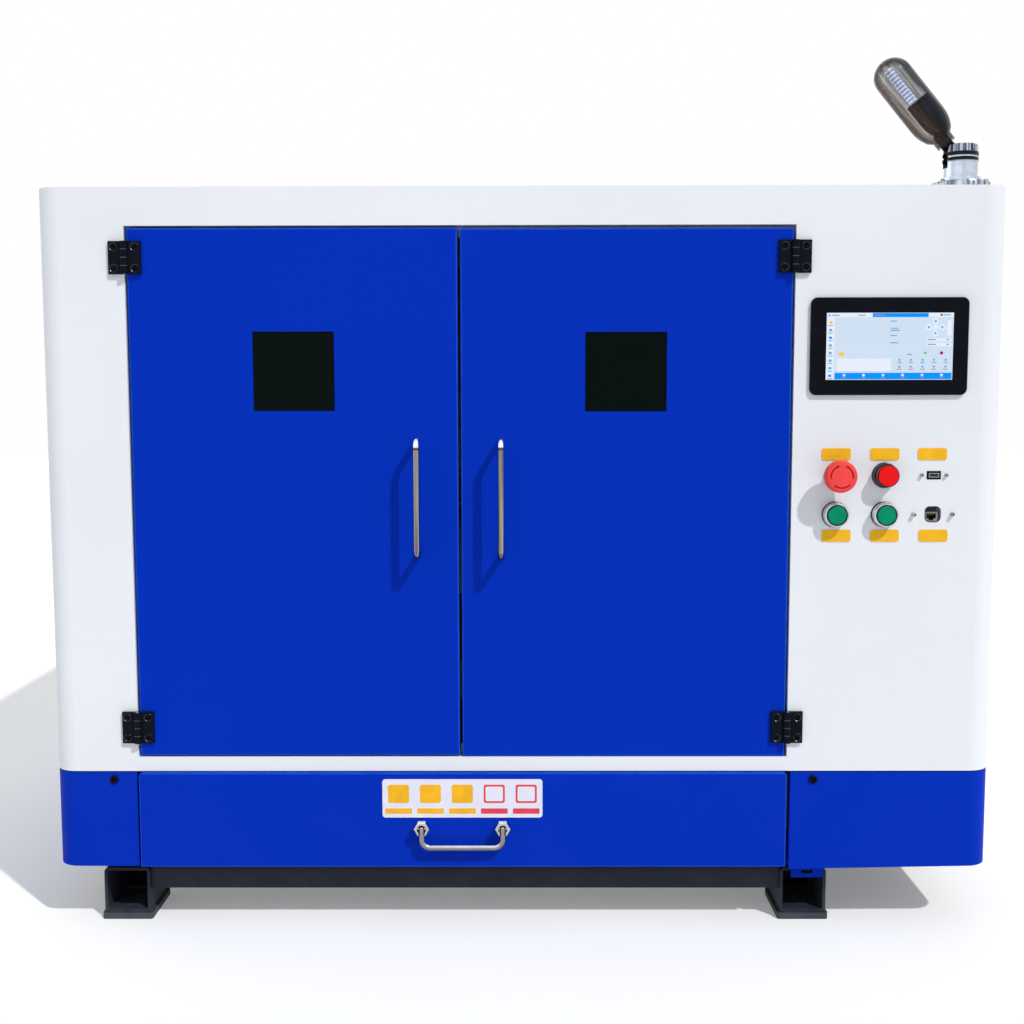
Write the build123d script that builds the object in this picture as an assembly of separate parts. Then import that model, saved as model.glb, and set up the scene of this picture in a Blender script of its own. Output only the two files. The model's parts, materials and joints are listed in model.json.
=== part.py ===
from build123d import *
import math
import os

# Body of the machine, seen from the front: X to the right, Y to the back, Z up from the floor
BODY_WIDTH = 1200.0
BODY_DEPTH = 1000.0
BODY_TOP = 937.0
HOUSING_BOTTOM = 205.0
SKIRT_BOTTOM = 80.0
SKIRT_SEAM = 1.5
SHEET = 2.0
CORNER_RADIUS = 30.0
FASCIA_RETURN = 60.0
PANEL_SEAM = 1.5

# Door opening in the front
LEFT_STILE = 111.0
RIGHT_STILE = 263.0
SILL_HEIGHT = 18.5
HEAD_HEIGHT = 47.0
OPENING_RETURN = 24.0
OPENING_LIP = 12.0

# Doors, which lie flush in the opening
DOOR_DEPTH = 18.0
DOOR_LIP = 14.0
DOOR_SIDE_GAP = 3.0
DOOR_TOP_GAP = 3.0
DOOR_BOTTOM_GAP = 2.0
DOOR_MIDDLE_GAP = 3.6
DOOR_SPLIT_SHIFT = -1.3
DOOR_EDGE_RADIUS = 1.5
RIGHT_DOOR_DROP = 1.2
WINDOW_WIDTH = 101.0
WINDOW_HEIGHT = 98.0
WINDOW_BELOW_DOOR_TOP = 126.0
WINDOW_OVERLAP = 12.0
WINDOW_THICKNESS = 4.0

# Door handles, bent from round bar
HANDLE_LENGTH = 152.0
HANDLE_ROD = 8.0
HANDLE_REACH = 38.0
HANDLE_BEND = 9.0
HANDLE_INSET = 50.0

# Butt hinges with four knuckles each
HINGE_SIZE = 40.0
HINGE_THICKNESS = 5.0
HINGE_KNUCKLES = 4
HINGE_INSET = 39.0
HINGE_PIN_RADIUS = 2.0
HINGE_RUNNING_GAP = 0.05
HINGE_AXIAL_GAP = 0.3
HINGE_SCREW_PITCH = 26.0
HINGE_SCREW_HEAD = 7.6
HINGE_SCREW_SHANK = 4.0

# Chassis of square tube on four open tube feet
FOOT_TUBE = 60.0
FOOT_WALL = 4.0
FOOT_TUBE_RADIUS = 6.0
FOOT_LENGTH = 80.0
FOOT_PLATE = 8.0
FOOT_PLATE_MARGIN = 3.0
FOOT_SETBACK = 25.0
FOOT_LEFT_INSET = 53.5
FOOT_RIGHT_INSET = 203.5
ANCHOR_RADIUS = 6.0
RAIL_HEIGHT = 60.0
RAIL_WALL = 4.0
CROSS_TUBE = 40.0
CROSS_BOTTOM = 39.0
CROSS_SETBACK = 5.0
TUBE_WALL = 3.0
POST = 40.0

# Scrap drawer below the doors
DRAWER_SIDE_GAP = 3.0
DRAWER_DEPTH = 18.0
DRAWER_PROUD = 4.0
DRAWER_CORNER = 5.0
TRAY_LENGTH = 700.0
TRAY_WALL = 1.5
TRAY_HEIGHT = 104.0
TRAY_FLOOR_GAP = 7.0
SLIDE_WIDTH = 11.5
SLIDE_HEIGHT = 40.0
SLIDE_WALL = 1.5
SLIDE_OVERLAP = 240.0
SLIDE_GAP = 0.5
DRAWER_TRAVEL = 450.0
PLAQUE_WIDTH = 204.0
PLAQUE_HEIGHT = 50.0
PLAQUE_THICKNESS = 1.0
PLAQUE_TOP_INSET = 8.0
PLAQUE_RADIUS = 4.0

# Folding bail handle on the drawer
BAIL_SPAN = 103.0
BAIL_ROD = 7.5
BAIL_DROP = 25.0
BAIL_BEND = 11.0
BAIL_BELOW_TOP = 69.0
BAIL_PIVOT_REACH = 11.0
BAIL_PIN_RADIUS = 1.5
BOSS_ACROSS = 17.0
BOSS_REACH = 16.0
BOSS_BORE_RADIUS = 5.8

# Operator panel: display and two rows of controls
DISPLAY_WIDTH = 194.0
DISPLAY_HEIGHT = 119.5
DISPLAY_RADIUS = 8.0
DISPLAY_PROUD = 5.0
DISPLAY_RIGHT_INSET = 50.0
DISPLAY_TOP_INSET = 136.0
DISPLAY_BODY_DEPTH = 34.0
DISPLAY_BODY_MARGIN = 7.0
SCREEN_WIDTH = 156.0
SCREEN_HEIGHT = 82.0
SCREEN_RECESS = 1.2
CONTROL_PITCH = 61.3
CONTROL_RIGHT_INSET = 86.5
UPPER_ROW_Z = 582.0
LOWER_ROW_Z = 533.0
PANEL_HOLE_RADIUS = 11.0
LABEL_WIDTH = 36.0
LABEL_HEIGHT = 15.0
LABEL_THICKNESS = 0.8
LABEL_ABOVE = 26.3
LABEL_BELOW = 26.8
LABEL_RADIUS = 3.0
UPPER_LABEL_SHIFTS = (0.5, -0.5, -2.5)
LOWER_LABEL_SHIFTS = (2.5, 1.5, 1.0)

# Emergency stop button
STOP_HEAD_RADIUS = 20.0
STOP_PROUD = 34.0
STOP_HEAD_HEIGHT = 17.0
STOP_COLLAR_RADIUS = 13.4
STOP_COLLAR_HEIGHT = 12.0
STOP_STEM_RADIUS = 6.0
STOP_TRAVEL = 4.0
STOP_BODY = 28.0

# Push buttons and pilot lamp
BEZEL_RADIUS = 15.6
BEZEL_HEIGHT = 14.2
PILOT_BEZEL_HEIGHT = 9.0
BUTTON_RADIUS = 11.5
BUTTON_PROUD = 15.0
BUTTON_TRAVEL = 3.0
PILOT_RADIUS = 13.7
PILOT_PROUD = 19.0
SWITCH_BODY_DEPTH = 36.0

# Signal lamp on the top, tilted to the left
LAMP_RIGHT_INSET = 44.5
LAMP_SETBACK = 60.0
LAMP_FLANGE_RADIUS = 37.0
LAMP_FLANGE_HEIGHT = 17.0
LAMP_RIM_HEIGHT = 11.0
LAMP_BASE_RADIUS = 21.0
LAMP_BASE_HEIGHT = 58.0
LAMP_BASE_WALL = 3.0
LAMP_RING_HEIGHT = 9.5
LAMP_RING_TEETH = 30
LAMP_PIVOT_BELOW_TOP = 20.0
LAMP_TILT = 40.0
LAMP_LENGTH = 160.0
LAMP_RADIUS = 24.0
LAMP_LENS_FOOT = 28.0
LAMP_LENS_NECK = 12.3
LAMP_LENS_SHOULDER = 68.0
LAMP_LENS_WALL = 2.0
LAMP_STEM_RADIUS = 8.0
LAMP_PIN_RADIUS = 2.5
LAMP_BULB_RADIUS = 15.2
LAMP_BULB_OFFSET = 5.2
LAMP_BULB_FOOT = 38.0
LAMP_BULB_TOP = 95.0
LAMP_COLUMN_RADIUS = 5.75
LAMP_COLUMN_TOP = 148.0
LAMP_COLUMN_RIBS = 11

# Cutting bed: side beams on columns, notched bars and toothed slats
COLUMN = 60.0
BEAM_BOTTOM = 340.0
BEAM_REAR_SETBACK = 100.0
BEAM_FRONT_SETBACK = 75.0
SLAT_BEAM_BOTTOM = 215.0
SLAT_COUNT = 12
SLAT_PITCH = 50.0
SLAT_THICKNESS = 3.0
SLAT_HEIGHT = 55.0
SLAT_TOP = 330.0
SLAT_TOOTH_PITCH = 32.0
SLAT_TOOTH_DEPTH = 14.0
SLAT_SLOT_GAP = 0.3
NOTCHED_BAR_THICKNESS = 5.0
NOTCHED_BAR_HEIGHT = 60.0
NOTCHED_BAR_INSET = 16.0

# Linear rails, screws and gantry
LINEAR_RAIL = 15.0
RAIL_BLOCK_WIDTH = 34.0
RAIL_BLOCK_HEIGHT = 28.0
RAIL_BLOCK_LENGTH = 50.0
RAIL_BLOCK_GAP = 0.3
SCREW_RADIUS = 8.0
SCREW_JOURNAL_RADIUS = 6.0
SCREW_OFFSET = 16.5
SCREW_DROP = 30.0
NUT_GAP = 0.05
BEARING_LENGTH = 20.0
MOTOR = 57.0
MOTOR_LENGTH = 78.0
GANTRY_END_GAP = 40.0
GANTRY_BASE_LENGTH = 120.0
GANTRY_BASE_THICKNESS = 12.0
GANTRY_BEAM_DEPTH = 80.0
GANTRY_BEAM_HEIGHT = 100.0
X_SCREW_RADIUS = 6.0
X_SCREW_OFFSET = 22.0
X_RAIL_SPREAD = 60.0
X_MOTOR = 42.0
X_MOTOR_LENGTH = 60.0
CARRIAGE_END_GAP = 46.5
CARRIAGE_WIDTH = 110.0
CARRIAGE_THICKNESS = 12.0
CARRIAGE_HEIGHT = 185.0
CARRIAGE_STANDOFF = 32.0
HEAD_TRAVEL = 80.0
HEAD_CLEARANCE = 5.0
HEAD_WIDTH = 60.0
HEAD_DEPTH = 50.0
HEAD_HEIGHT_BODY = 190.0

# Exhaust collar and fittings on the back
EXHAUST_RADIUS = 75.0
EXHAUST_WALL = 2.0
EXHAUST_LENGTH = 34.0
EXHAUST_FLANGE = 97.0
EXHAUST_Z = 310.0
EXHAUST_LEFT_INSET = 300.0
FITTING_Z = 270.0
FITTING_PITCH = 38.0

# Electrical compartment
FLOOR_SHEET = 2.0
ALCOVE_DEPTH = 70.0

SKIN = 0.3

FRONT = -BODY_DEPTH / 2
REAR = BODY_DEPTH / 2
LEFT = -BODY_WIDTH / 2
RIGHT = BODY_WIDTH / 2
INNER_FRONT = FRONT + SHEET
INNER_REAR = REAR - SHEET
INNER_LEFT = LEFT + SHEET
INNER_RIGHT = RIGHT - SHEET
ROOF_UNDER = BODY_TOP - SHEET

OPEN_X0 = LEFT + LEFT_STILE
OPEN_X1 = RIGHT - RIGHT_STILE
OPEN_Z0 = HOUSING_BOTTOM + SILL_HEIGHT
OPEN_Z1 = BODY_TOP - HEAD_HEIGHT

DOOR_WIDTH = (OPEN_X1 - OPEN_X0 - 2 * DOOR_SIDE_GAP - DOOR_MIDDLE_GAP) / 2
DOOR_Z0 = OPEN_Z0 + DOOR_BOTTOM_GAP
DOOR_Z1 = OPEN_Z1 - DOOR_TOP_GAP
HINGE_Y = FRONT - HINGE_THICKNESS
HINGE_LEFT_X = OPEN_X0 + DOOR_SIDE_GAP / 2
HINGE_RIGHT_X = OPEN_X1 - DOOR_SIDE_GAP / 2
HINGE_ZS = (OPEN_Z0 + HINGE_INSET, OPEN_Z1 - HINGE_INSET)
SLIDE_LENGTH = DRAWER_TRAVEL + SLIDE_OVERLAP

FOOT_XS = (LEFT + FOOT_LEFT_INSET + FOOT_TUBE / 2, RIGHT - FOOT_RIGHT_INSET - FOOT_TUBE / 2)
FOOT_TOP = FOOT_PLATE + FOOT_TUBE
FOOT_YS = (FRONT + FOOT_SETBACK, REAR - FOOT_SETBACK - FOOT_LENGTH)
RAIL_TOP = FOOT_TOP + RAIL_HEIGHT
RAIL_IN_LEFT = FOOT_XS[0] + FOOT_TUBE / 2
RAIL_IN_RIGHT = FOOT_XS[1] - FOOT_TUBE / 2
RAIL_OUT_RIGHT = FOOT_XS[1] + FOOT_TUBE / 2
POST_FRONT = FRONT + CORNER_RADIUS
BEAM_Z = ROOF_UNDER - POST
EXHAUST_X = LEFT + EXHAUST_LEFT_INSET

CONTROL_XS = tuple(RIGHT - CONTROL_RIGHT_INSET - CONTROL_PITCH * k for k in (2, 1, 0))
DISPLAY_X = RIGHT - DISPLAY_RIGHT_INSET - DISPLAY_WIDTH / 2
DISPLAY_Z = BODY_TOP - DISPLAY_TOP_INSET - DISPLAY_HEIGHT / 2

BEAM_TOP = BEAM_BOTTOM + COLUMN
BEAM_Y0 = FRONT + BEAM_FRONT_SETBACK
BEAM_Y1 = REAR - BEAM_REAR_SETBACK
BLOCK_TOP = BEAM_TOP + RAIL_BLOCK_HEIGHT
GANTRY_Z0 = BLOCK_TOP + GANTRY_BASE_THICKNESS
GANTRY_Z1 = GANTRY_Z0 + GANTRY_BEAM_HEIGHT
GANTRY_MID_Z = (GANTRY_Z0 + GANTRY_Z1) / 2
GANTRY_REST_Y = BEAM_Y1 - GANTRY_END_GAP - GANTRY_BASE_LENGTH / 2
CARRIAGE_REST_X = RAIL_IN_LEFT + CARRIAGE_END_GAP + CARRIAGE_WIDTH / 2
GANTRY_FRONT = GANTRY_REST_Y - GANTRY_BEAM_DEPTH / 2
SCREW_Z = BEAM_TOP - SCREW_DROP
SCREW_XS = (RAIL_IN_LEFT + SCREW_OFFSET, RAIL_IN_RIGHT - SCREW_OFFSET)


def span(x0, x1, y0, y1, z0, z1):
    """A block between two corners."""
    middle = Pos((x0 + x1) / 2, (y0 + y1) / 2, (z0 + z1) / 2)
    return middle * Box(x1 - x0, y1 - y0, z1 - z0)


def rod(start, end, radius):
    """A round bar between two points."""
    a = Vector(*start)
    b = Vector(*end)
    plane = Plane(origin=a, z_dir=b - a)
    return extrude(plane * Circle(radius), (b - a).length)


def front_plane(x, z, y=FRONT):
    """A plane facing the operator, with its origin at x, z on the front."""
    return Plane(origin=(x, y, z), x_dir=(1, 0, 0), z_dir=(0, -1, 0))


def turned(x, z, profile, y=FRONT):
    """A piece turned about an axis that stands out of the front at x, z; the profile is (radius, reach)."""
    lathe = Plane(origin=(x, y, z), x_dir=(1, 0, 0), z_dir=(0, 0, 1))
    face = lathe * make_face(Polyline(*[(r, -reach) for r, reach in profile], close=True))
    return revolve(face, Axis((x, y, z), (0, -1, 0)))


def upright(x, y, profile):
    """A piece turned about a vertical axis at x, y; the profile is (radius, z)."""
    face = Plane(origin=(x, y, 0), x_dir=(1, 0, 0), z_dir=(0, -1, 0)) * make_face(
        Polyline(*profile, close=True)
    )
    return revolve(face, Axis((x, y, 0), (0, 0, 1)))


def tube(x0, x1, y0, y1, z0, z1, wall, along):
    """Square or rectangular tube, open at both ends along one axis."""
    sizes = {"X": (0, wall, wall), "Y": (wall, 0, wall), "Z": (wall, wall, 0)}[along]
    over = {"X": (1, 0, 0), "Y": (0, 1, 0), "Z": (0, 0, 1)}[along]
    outer = span(x0, x1, y0, y1, z0, z1)
    inner = span(
        x0 + sizes[0] - over[0],
        x1 - sizes[0] + over[0],
        y0 + sizes[1] - over[1],
        y1 - sizes[1] + over[1],
        z0 + sizes[2] - over[2],
        z1 - sizes[2] + over[2],
    )
    return outer - inner


def group(solids):
    """Separate solids that share one node."""
    return Compound(children=list(solids))


def as_solids(shape):
    """The solids of a shape, as a list."""
    return list(shape.solids())


def socket_screw(x, z, head_radius, head_height, shank_radius, seat_y, depth):
    """Socket head screw driven into the front, its head standing on seat_y."""
    head = turned(x, z, [(0, 0), (head_radius, 0), (head_radius, head_height * 0.8),
                         (head_radius * 0.86, head_height), (0, head_height)], seat_y)
    shank = rod((x, seat_y, z), (x, seat_y + depth, z), shank_radius)
    key = extrude(front_plane(x, z, seat_y - head_height * 0.4) * RegularPolygon(head_radius * 0.5, 6),
                  head_height)
    return head + shank - key


def body_plan(inset):
    """Plan outline of the body with its two front corners rounded."""
    outline = Rectangle(BODY_WIDTH - 2 * inset, BODY_DEPTH - 2 * inset)
    corners = outline.vertices().group_by(Axis.Y)[0]
    return fillet(corners, CORNER_RADIUS - inset)


def body_wall(z0, z1):
    """The sheet that wraps the body, between two heights."""
    ring = body_plan(0) - body_plan(SHEET)
    return extrude(Pos(0, 0, z0) * ring, z1 - z0)


def feet():
    """Four open tube feet, each welded to a plate with one anchor hole through both."""
    made = []
    for x in FOOT_XS:
        for y in FOOT_YS:
            middle = y + FOOT_LENGTH / 2
            face = Plane(origin=(x, y, FOOT_PLATE + FOOT_TUBE / 2), x_dir=(1, 0, 0), z_dir=(0, 1, 0))
            inner = FOOT_TUBE - 2 * FOOT_WALL
            section = RectangleRounded(FOOT_TUBE, FOOT_TUBE, FOOT_TUBE_RADIUS)
            section -= RectangleRounded(inner, inner, FOOT_TUBE_RADIUS - FOOT_WALL)
            sleeve = extrude(face * section, FOOT_LENGTH)
            side = FOOT_TUBE / 2 + FOOT_PLATE_MARGIN
            plate = span(x - side, x + side, y - FOOT_PLATE_MARGIN, y + FOOT_LENGTH + FOOT_PLATE_MARGIN,
                         0, FOOT_PLATE)
            plate = fillet(plate.edges().filter_by(Axis.Z), FOOT_PLATE_MARGIN + 1)
            hole = rod((x, middle, -1), (x, middle, FOOT_PLATE + 2 * FOOT_WALL), ANCHOR_RADIUS)
            made.append((sleeve + plate - hole).solid())
    return group(made)


def base_frame():
    """Two long rails on the feet, cross tubes between the feet and outriggers to the skirts."""
    made = []
    for x in FOOT_XS:
        half = FOOT_TUBE / 2
        made.append(tube(x - half, x + half, POST_FRONT, INNER_REAR, FOOT_TOP, RAIL_TOP, RAIL_WALL, "Y"))
    front_y = FRONT + FOOT_SETBACK + CROSS_SETBACK
    rear_y = REAR - FOOT_SETBACK - CROSS_SETBACK - CROSS_TUBE
    for y in (front_y, rear_y):
        made.append(tube(RAIL_IN_LEFT, RAIL_IN_RIGHT, y, y + CROSS_TUBE, CROSS_BOTTOM,
                         CROSS_BOTTOM + CROSS_TUBE, TUBE_WALL, "X"))
    for y in (POST_FRONT, -POST / 2, INNER_REAR - POST):
        made.append(tube(INNER_LEFT, RAIL_IN_LEFT - FOOT_TUBE, y, y + POST, RAIL_TOP - POST, RAIL_TOP,
                         TUBE_WALL, "X"))
        made.append(tube(RAIL_OUT_RIGHT, INNER_RIGHT, y, y + POST, RAIL_TOP - POST, RAIL_TOP,
                         TUBE_WALL, "X"))
    return group(made)


def upper_frame():
    """Corner posts and the ring of tube under the roof."""
    made = []
    for x in (INNER_LEFT, INNER_RIGHT - POST):
        for y in (POST_FRONT, INNER_REAR - POST):
            made.append(tube(x, x + POST, y, y + POST, RAIL_TOP, BEAM_Z, TUBE_WALL, "Z"))
        made.append(tube(x, x + POST, POST_FRONT + POST, INNER_REAR - POST, BEAM_Z, ROOF_UNDER,
                         TUBE_WALL, "Y"))
    for y in (POST_FRONT, INNER_REAR - POST):
        made.append(tube(INNER_LEFT, INNER_RIGHT, y, y + POST, BEAM_Z, ROOF_UNDER, TUBE_WALL, "X"))
    return group(made)


def control_holes():
    """Clearance holes of the operator panel."""
    back = FRONT + SHEET + 1
    cuts = []
    half_w = DISPLAY_WIDTH / 2 - DISPLAY_BODY_MARGIN
    half_h = DISPLAY_HEIGHT / 2 - DISPLAY_BODY_MARGIN
    cuts.append(span(DISPLAY_X - half_w, DISPLAY_X + half_w, FRONT - 1, back, DISPLAY_Z - half_h,
                     DISPLAY_Z + half_h))
    for x in CONTROL_XS[:2]:
        for z in (UPPER_ROW_Z, LOWER_ROW_Z):
            cuts.append(rod((x, FRONT - 1, z), (x, back, z), PANEL_HOLE_RADIUS))
    x = CONTROL_XS[2]
    cuts.append(span(x - USB_WIDTH / 2, x + USB_WIDTH / 2, FRONT - 1, back, UPPER_ROW_Z - USB_HEIGHT / 2,
                     UPPER_ROW_Z + USB_HEIGHT / 2))
    cuts.append(rounded_block(x, LOWER_ROW_Z, NETWORK_SIZE, NETWORK_CORNER, FRONT - 1, back))
    for dx, z in socket_screw_places():
        cuts.append(rod((x + dx, FRONT - 1, z), (x + dx, back, z), SOCKET_SHANK + 0.1))
    return cuts


def rounded_block(x, z, size, corner, y0, y1):
    """A square block with rounded corners, from y0 to y1."""
    return extrude(front_plane(x, z, y1) * RectangleRounded(size, size, corner), y1 - y0)


def socket_screw_places():
    """Offset and height of the four screws beside the sockets."""
    places = [(side * USB_SCREW_SPREAD, UPPER_ROW_Z) for side in (-1, 1)]
    return places + [(side * NETWORK_SCREW_SPREAD, LOWER_ROW_Z) for side in (-1, 1)]


USB_WIDTH = 17.6
USB_HEIGHT = 10.4
USB_SCREW_SPREAD = 15.3
USB_SCREW_HEAD = (2.2, 4.0)
NETWORK_SIZE = 20.4
NETWORK_CORNER = 6.5
NETWORK_RECESS = 8.0
NETWORK_WALL = 1.1
NETWORK_SHIFT = 1.5
NETWORK_PORT_WIDTH = 12.0
NETWORK_SCREW_SPREAD = 24.0
NETWORK_SCREW_HEAD = (2.5, 5.6)
SOCKET_SHANK = 1.5
SOCKET_FLANGE = 2.0


def front_fascia():
    """White front sheet: rounded corners, door opening folded back to a light-tight lip, panel holes."""
    sheet = body_wall(HOUSING_BOTTOM, ROOF_UNDER)
    sheet &= span(LEFT - 1, RIGHT + 1, FRONT - 1, FRONT + FASCIA_RETURN, HOUSING_BOTTOM, ROOF_UNDER)
    sheet -= span(OPEN_X0, OPEN_X1, FRONT - 1, FRONT + SHEET + 1, OPEN_Z0, OPEN_Z1)
    depth = FRONT + OPENING_RETURN
    sleeve = span(OPEN_X0 - SHEET, OPEN_X1 + SHEET, FRONT, depth, OPEN_Z0 - SHEET, OPEN_Z1 + SHEET)
    sleeve -= span(OPEN_X0, OPEN_X1, FRONT - 1, depth - SHEET, OPEN_Z0, OPEN_Z1)
    sleeve -= span(OPEN_X0 + OPENING_LIP, OPEN_X1 - OPENING_LIP, FRONT, depth + 1,
                   OPEN_Z0 + OPENING_LIP, OPEN_Z1 - OPENING_LIP)
    flange = span(OPEN_X0, OPEN_X1, FRONT, FRONT + DOOR_DEPTH, HOUSING_BOTTOM, HOUSING_BOTTOM + SHEET)
    sheet = sheet + sleeve + flange
    for cut in control_holes():
        sheet -= cut
    for x in (HINGE_LEFT_X - HINGE_SCREW_PITCH / 2, HINGE_RIGHT_X + HINGE_SCREW_PITCH / 2):
        for z in HINGE_ZS:
            for dz in (-HINGE_SCREW_PITCH / 2, HINGE_SCREW_PITCH / 2):
                sheet -= rod((x, FRONT - 1, z + dz), (x, FRONT + SHEET + 1, z + dz),
                             HINGE_SCREW_SHANK / 2 + 0.1)
    return sheet


def louvre(x, y, z, length, facing):
    """A pressed louvre hood and the slot it covers; facing is +X or +Y."""
    if facing == "+X":
        slot = span(x - SHEET - 1, x + 1, y - length / 2, y + length / 2, z - LOUVRE_DROP, z)
        face = Plane(origin=(x, y - length / 2 - LOUVRE_RIM, z), x_dir=(1, 0, 0), z_dir=(0, 1, 0))
        flip = -1
    else:
        slot = span(x - length / 2, x + length / 2, y - SHEET - 1, y + 1, z - LOUVRE_DROP, z)
        face = Plane(origin=(x - length / 2 - LOUVRE_RIM, y, z), x_dir=(0, 1, 0), z_dir=(1, 0, 0))
        flip = 1
    reach = LOUVRE_REACH
    thick = LOUVRE_THICKNESS
    outline = [(0, flip * thick), (0, 0), (reach - thick, flip * -LOUVRE_DROP), (reach, flip * -LOUVRE_DROP)]
    hood = extrude(face * make_face(Polyline(*outline, close=True)), length + 2 * LOUVRE_RIM)
    return hood, slot


LOUVRE_DROP = 9.0
LOUVRE_REACH = 8.0
LOUVRE_THICKNESS = 2.4
LOUVRE_RIM = 3.0
LOUVRE_LENGTH = 110.0
LOUVRE_PITCH = 20.0
LOUVRE_COUNT = 7
LOUVRE_MARGIN = 90.0
SIDE_LOUVRE_YS = (-0.15 * BODY_DEPTH, 0.2 * BODY_DEPTH)


def side_panel(left):
    """Flat side sheet of the housing; the right one has two groups of louvres."""
    x0 = LEFT if left else INNER_RIGHT
    sheet = span(x0, x0 + SHEET, FRONT + FASCIA_RETURN + PANEL_SEAM, REAR, HOUSING_BOTTOM, ROOF_UNDER)
    if left:
        return sheet
    for y in SIDE_LOUVRE_YS:
        for k in range(LOUVRE_COUNT):
            z = HOUSING_BOTTOM + LOUVRE_MARGIN + k * LOUVRE_PITCH
            hood, slot = louvre(RIGHT, y, z, LOUVRE_LENGTH, "+X")
            sheet = sheet + hood - slot
    return sheet


def top_panel():
    """Roof sheet over the whole body with a cable hole under the signal lamp."""
    roof = extrude(Pos(0, 0, ROOF_UNDER) * body_plan(0), SHEET)
    x = RIGHT - LAMP_RIGHT_INSET
    y = FRONT + LAMP_SETBACK
    return roof - rod((x, y, ROOF_UNDER - 1), (x, y, BODY_TOP + 1), ANCHOR_RADIUS)


def rear_panel():
    """Back sheet with the exhaust hole, a louvre group and holes for the fittings."""
    sheet = span(INNER_LEFT, INNER_RIGHT, INNER_REAR, REAR, HOUSING_BOTTOM, ROOF_UNDER)
    bore = EXHAUST_RADIUS - EXHAUST_WALL
    sheet -= rod((EXHAUST_X, INNER_REAR - 1, EXHAUST_Z), (EXHAUST_X, REAR + 1, EXHAUST_Z), bore)
    x = (RAIL_OUT_RIGHT + INNER_RIGHT) / 2
    for k in range(LOUVRE_COUNT):
        hood, slot = louvre(x, REAR, ROOF_UNDER - LOUVRE_MARGIN - k * LOUVRE_PITCH, LOUVRE_LENGTH, "+Y")
        sheet = sheet + hood - slot
    for fx, radius in fitting_places():
        sheet -= rod((fx, INNER_REAR - 1, FITTING_Z), (fx, REAR + 1, FITTING_Z), radius)
    return sheet


def fitting_places():
    """Centre and thread radius of each fitting: the cable gland and three hose tails."""
    x = (RAIL_OUT_RIGHT + INNER_RIGHT - POST) / 2
    return [(x + (k - 1.5) * FITTING_PITCH, 12.0 if k == 3 else 7.0) for k in range(4)]


def rear_fittings():
    """Three hexagon hose tails and one cable gland, each with its nut inside the back sheet."""
    made = []
    for x, radius in fitting_places():
        face = Plane(origin=(x, REAR, FITTING_Z), x_dir=(1, 0, 0), z_dir=(0, 1, 0))
        inside = Plane(origin=(x, INNER_REAR, FITTING_Z), x_dir=(1, 0, 0), z_dir=(0, -1, 0))
        body = extrude(face * RegularPolygon(radius * 1.45, 6), radius * 0.8)
        nut = extrude(inside * RegularPolygon(radius * 1.45, 6), radius * 0.6)
        barrel = rod((x, INNER_REAR - radius, FITTING_Z), (x, REAR + radius * 2.2, FITTING_Z), radius)
        bore = rod((x, INNER_REAR - radius - 1, FITTING_Z), (x, REAR + radius * 3, FITTING_Z), radius * 0.6)
        piece = body + nut + barrel - bore
        made.append(piece.solid())
    return group(made)


def exhaust_collar():
    """Spigot for the extraction hose, with a flange and a beaded rim."""
    r = EXHAUST_RADIUS
    inner = r - EXHAUST_WALL
    profile = [(inner, 0), (EXHAUST_FLANGE, 0), (EXHAUST_FLANGE, EXHAUST_WALL), (r, EXHAUST_WALL),
               (r, EXHAUST_LENGTH), (inner, EXHAUST_LENGTH)]
    lathe = Plane(origin=(EXHAUST_X, REAR, EXHAUST_Z), x_dir=(1, 0, 0), z_dir=(0, 0, 1))
    face = lathe * make_face(Polyline(*profile, close=True))
    return revolve(face, Axis((EXHAUST_X, REAR, EXHAUST_Z), (0, 1, 0)))


SKIRT_TOP = HOUSING_BOTTOM - SKIRT_SEAM
SKIRT_FLANGE = 14.0
SKIRT_LEFT_EDGE = OPEN_X0 - 3.0
SKIRT_RIGHT_EDGE = OPEN_X1 + 5.0
RIGHT_SKIRT_DIP = 4.0
TAB_WIDTH = 41.0
TAB_DROP = 16.0
TAB_INSET = 6.0
TAB_SLOT_WIDTH = 15.0
TAB_SLOT_HEIGHT = 5.0
SKIRT_SCREW_RADIUS = 5.3
SKIRT_SCREW_SHANK = 3.0
SKIRT_SCREW_INSET = 29.0
SKIRT_SCREW_BELOW_TOP = 9.5


def skirt_screw_hole(x):
    """Hole for the screw at the inner upper corner of a skirt."""
    z = SKIRT_TOP - SKIRT_SCREW_BELOW_TOP
    return rod((x, FRONT - 1, z), (x, FRONT + SHEET + 1, z), SKIRT_SCREW_SHANK + 0.1)


def skirt_left():
    """Blue skirt round the left front corner and along the left side."""
    sheet = body_wall(SKIRT_BOTTOM, SKIRT_TOP)
    sheet &= span(LEFT - 1, SKIRT_LEFT_EDGE, FRONT - 1, REAR, SKIRT_BOTTOM, SKIRT_TOP)
    sheet -= span(INNER_LEFT, SKIRT_LEFT_EDGE, INNER_REAR - 1, REAR + 1, SKIRT_BOTTOM, SKIRT_TOP)
    lip_x = SKIRT_LEFT_EDGE
    flange = span(LEFT + CORNER_RADIUS, lip_x, FRONT, FRONT + SKIRT_FLANGE, SKIRT_BOTTOM,
                  SKIRT_BOTTOM + SHEET)
    edge = span(lip_x - SHEET, lip_x, FRONT, FRONT + SKIRT_FLANGE, SKIRT_BOTTOM, SKIRT_TOP)
    return sheet + flange + edge - skirt_screw_hole(SKIRT_LEFT_EDGE - SKIRT_SCREW_INSET)


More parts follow.
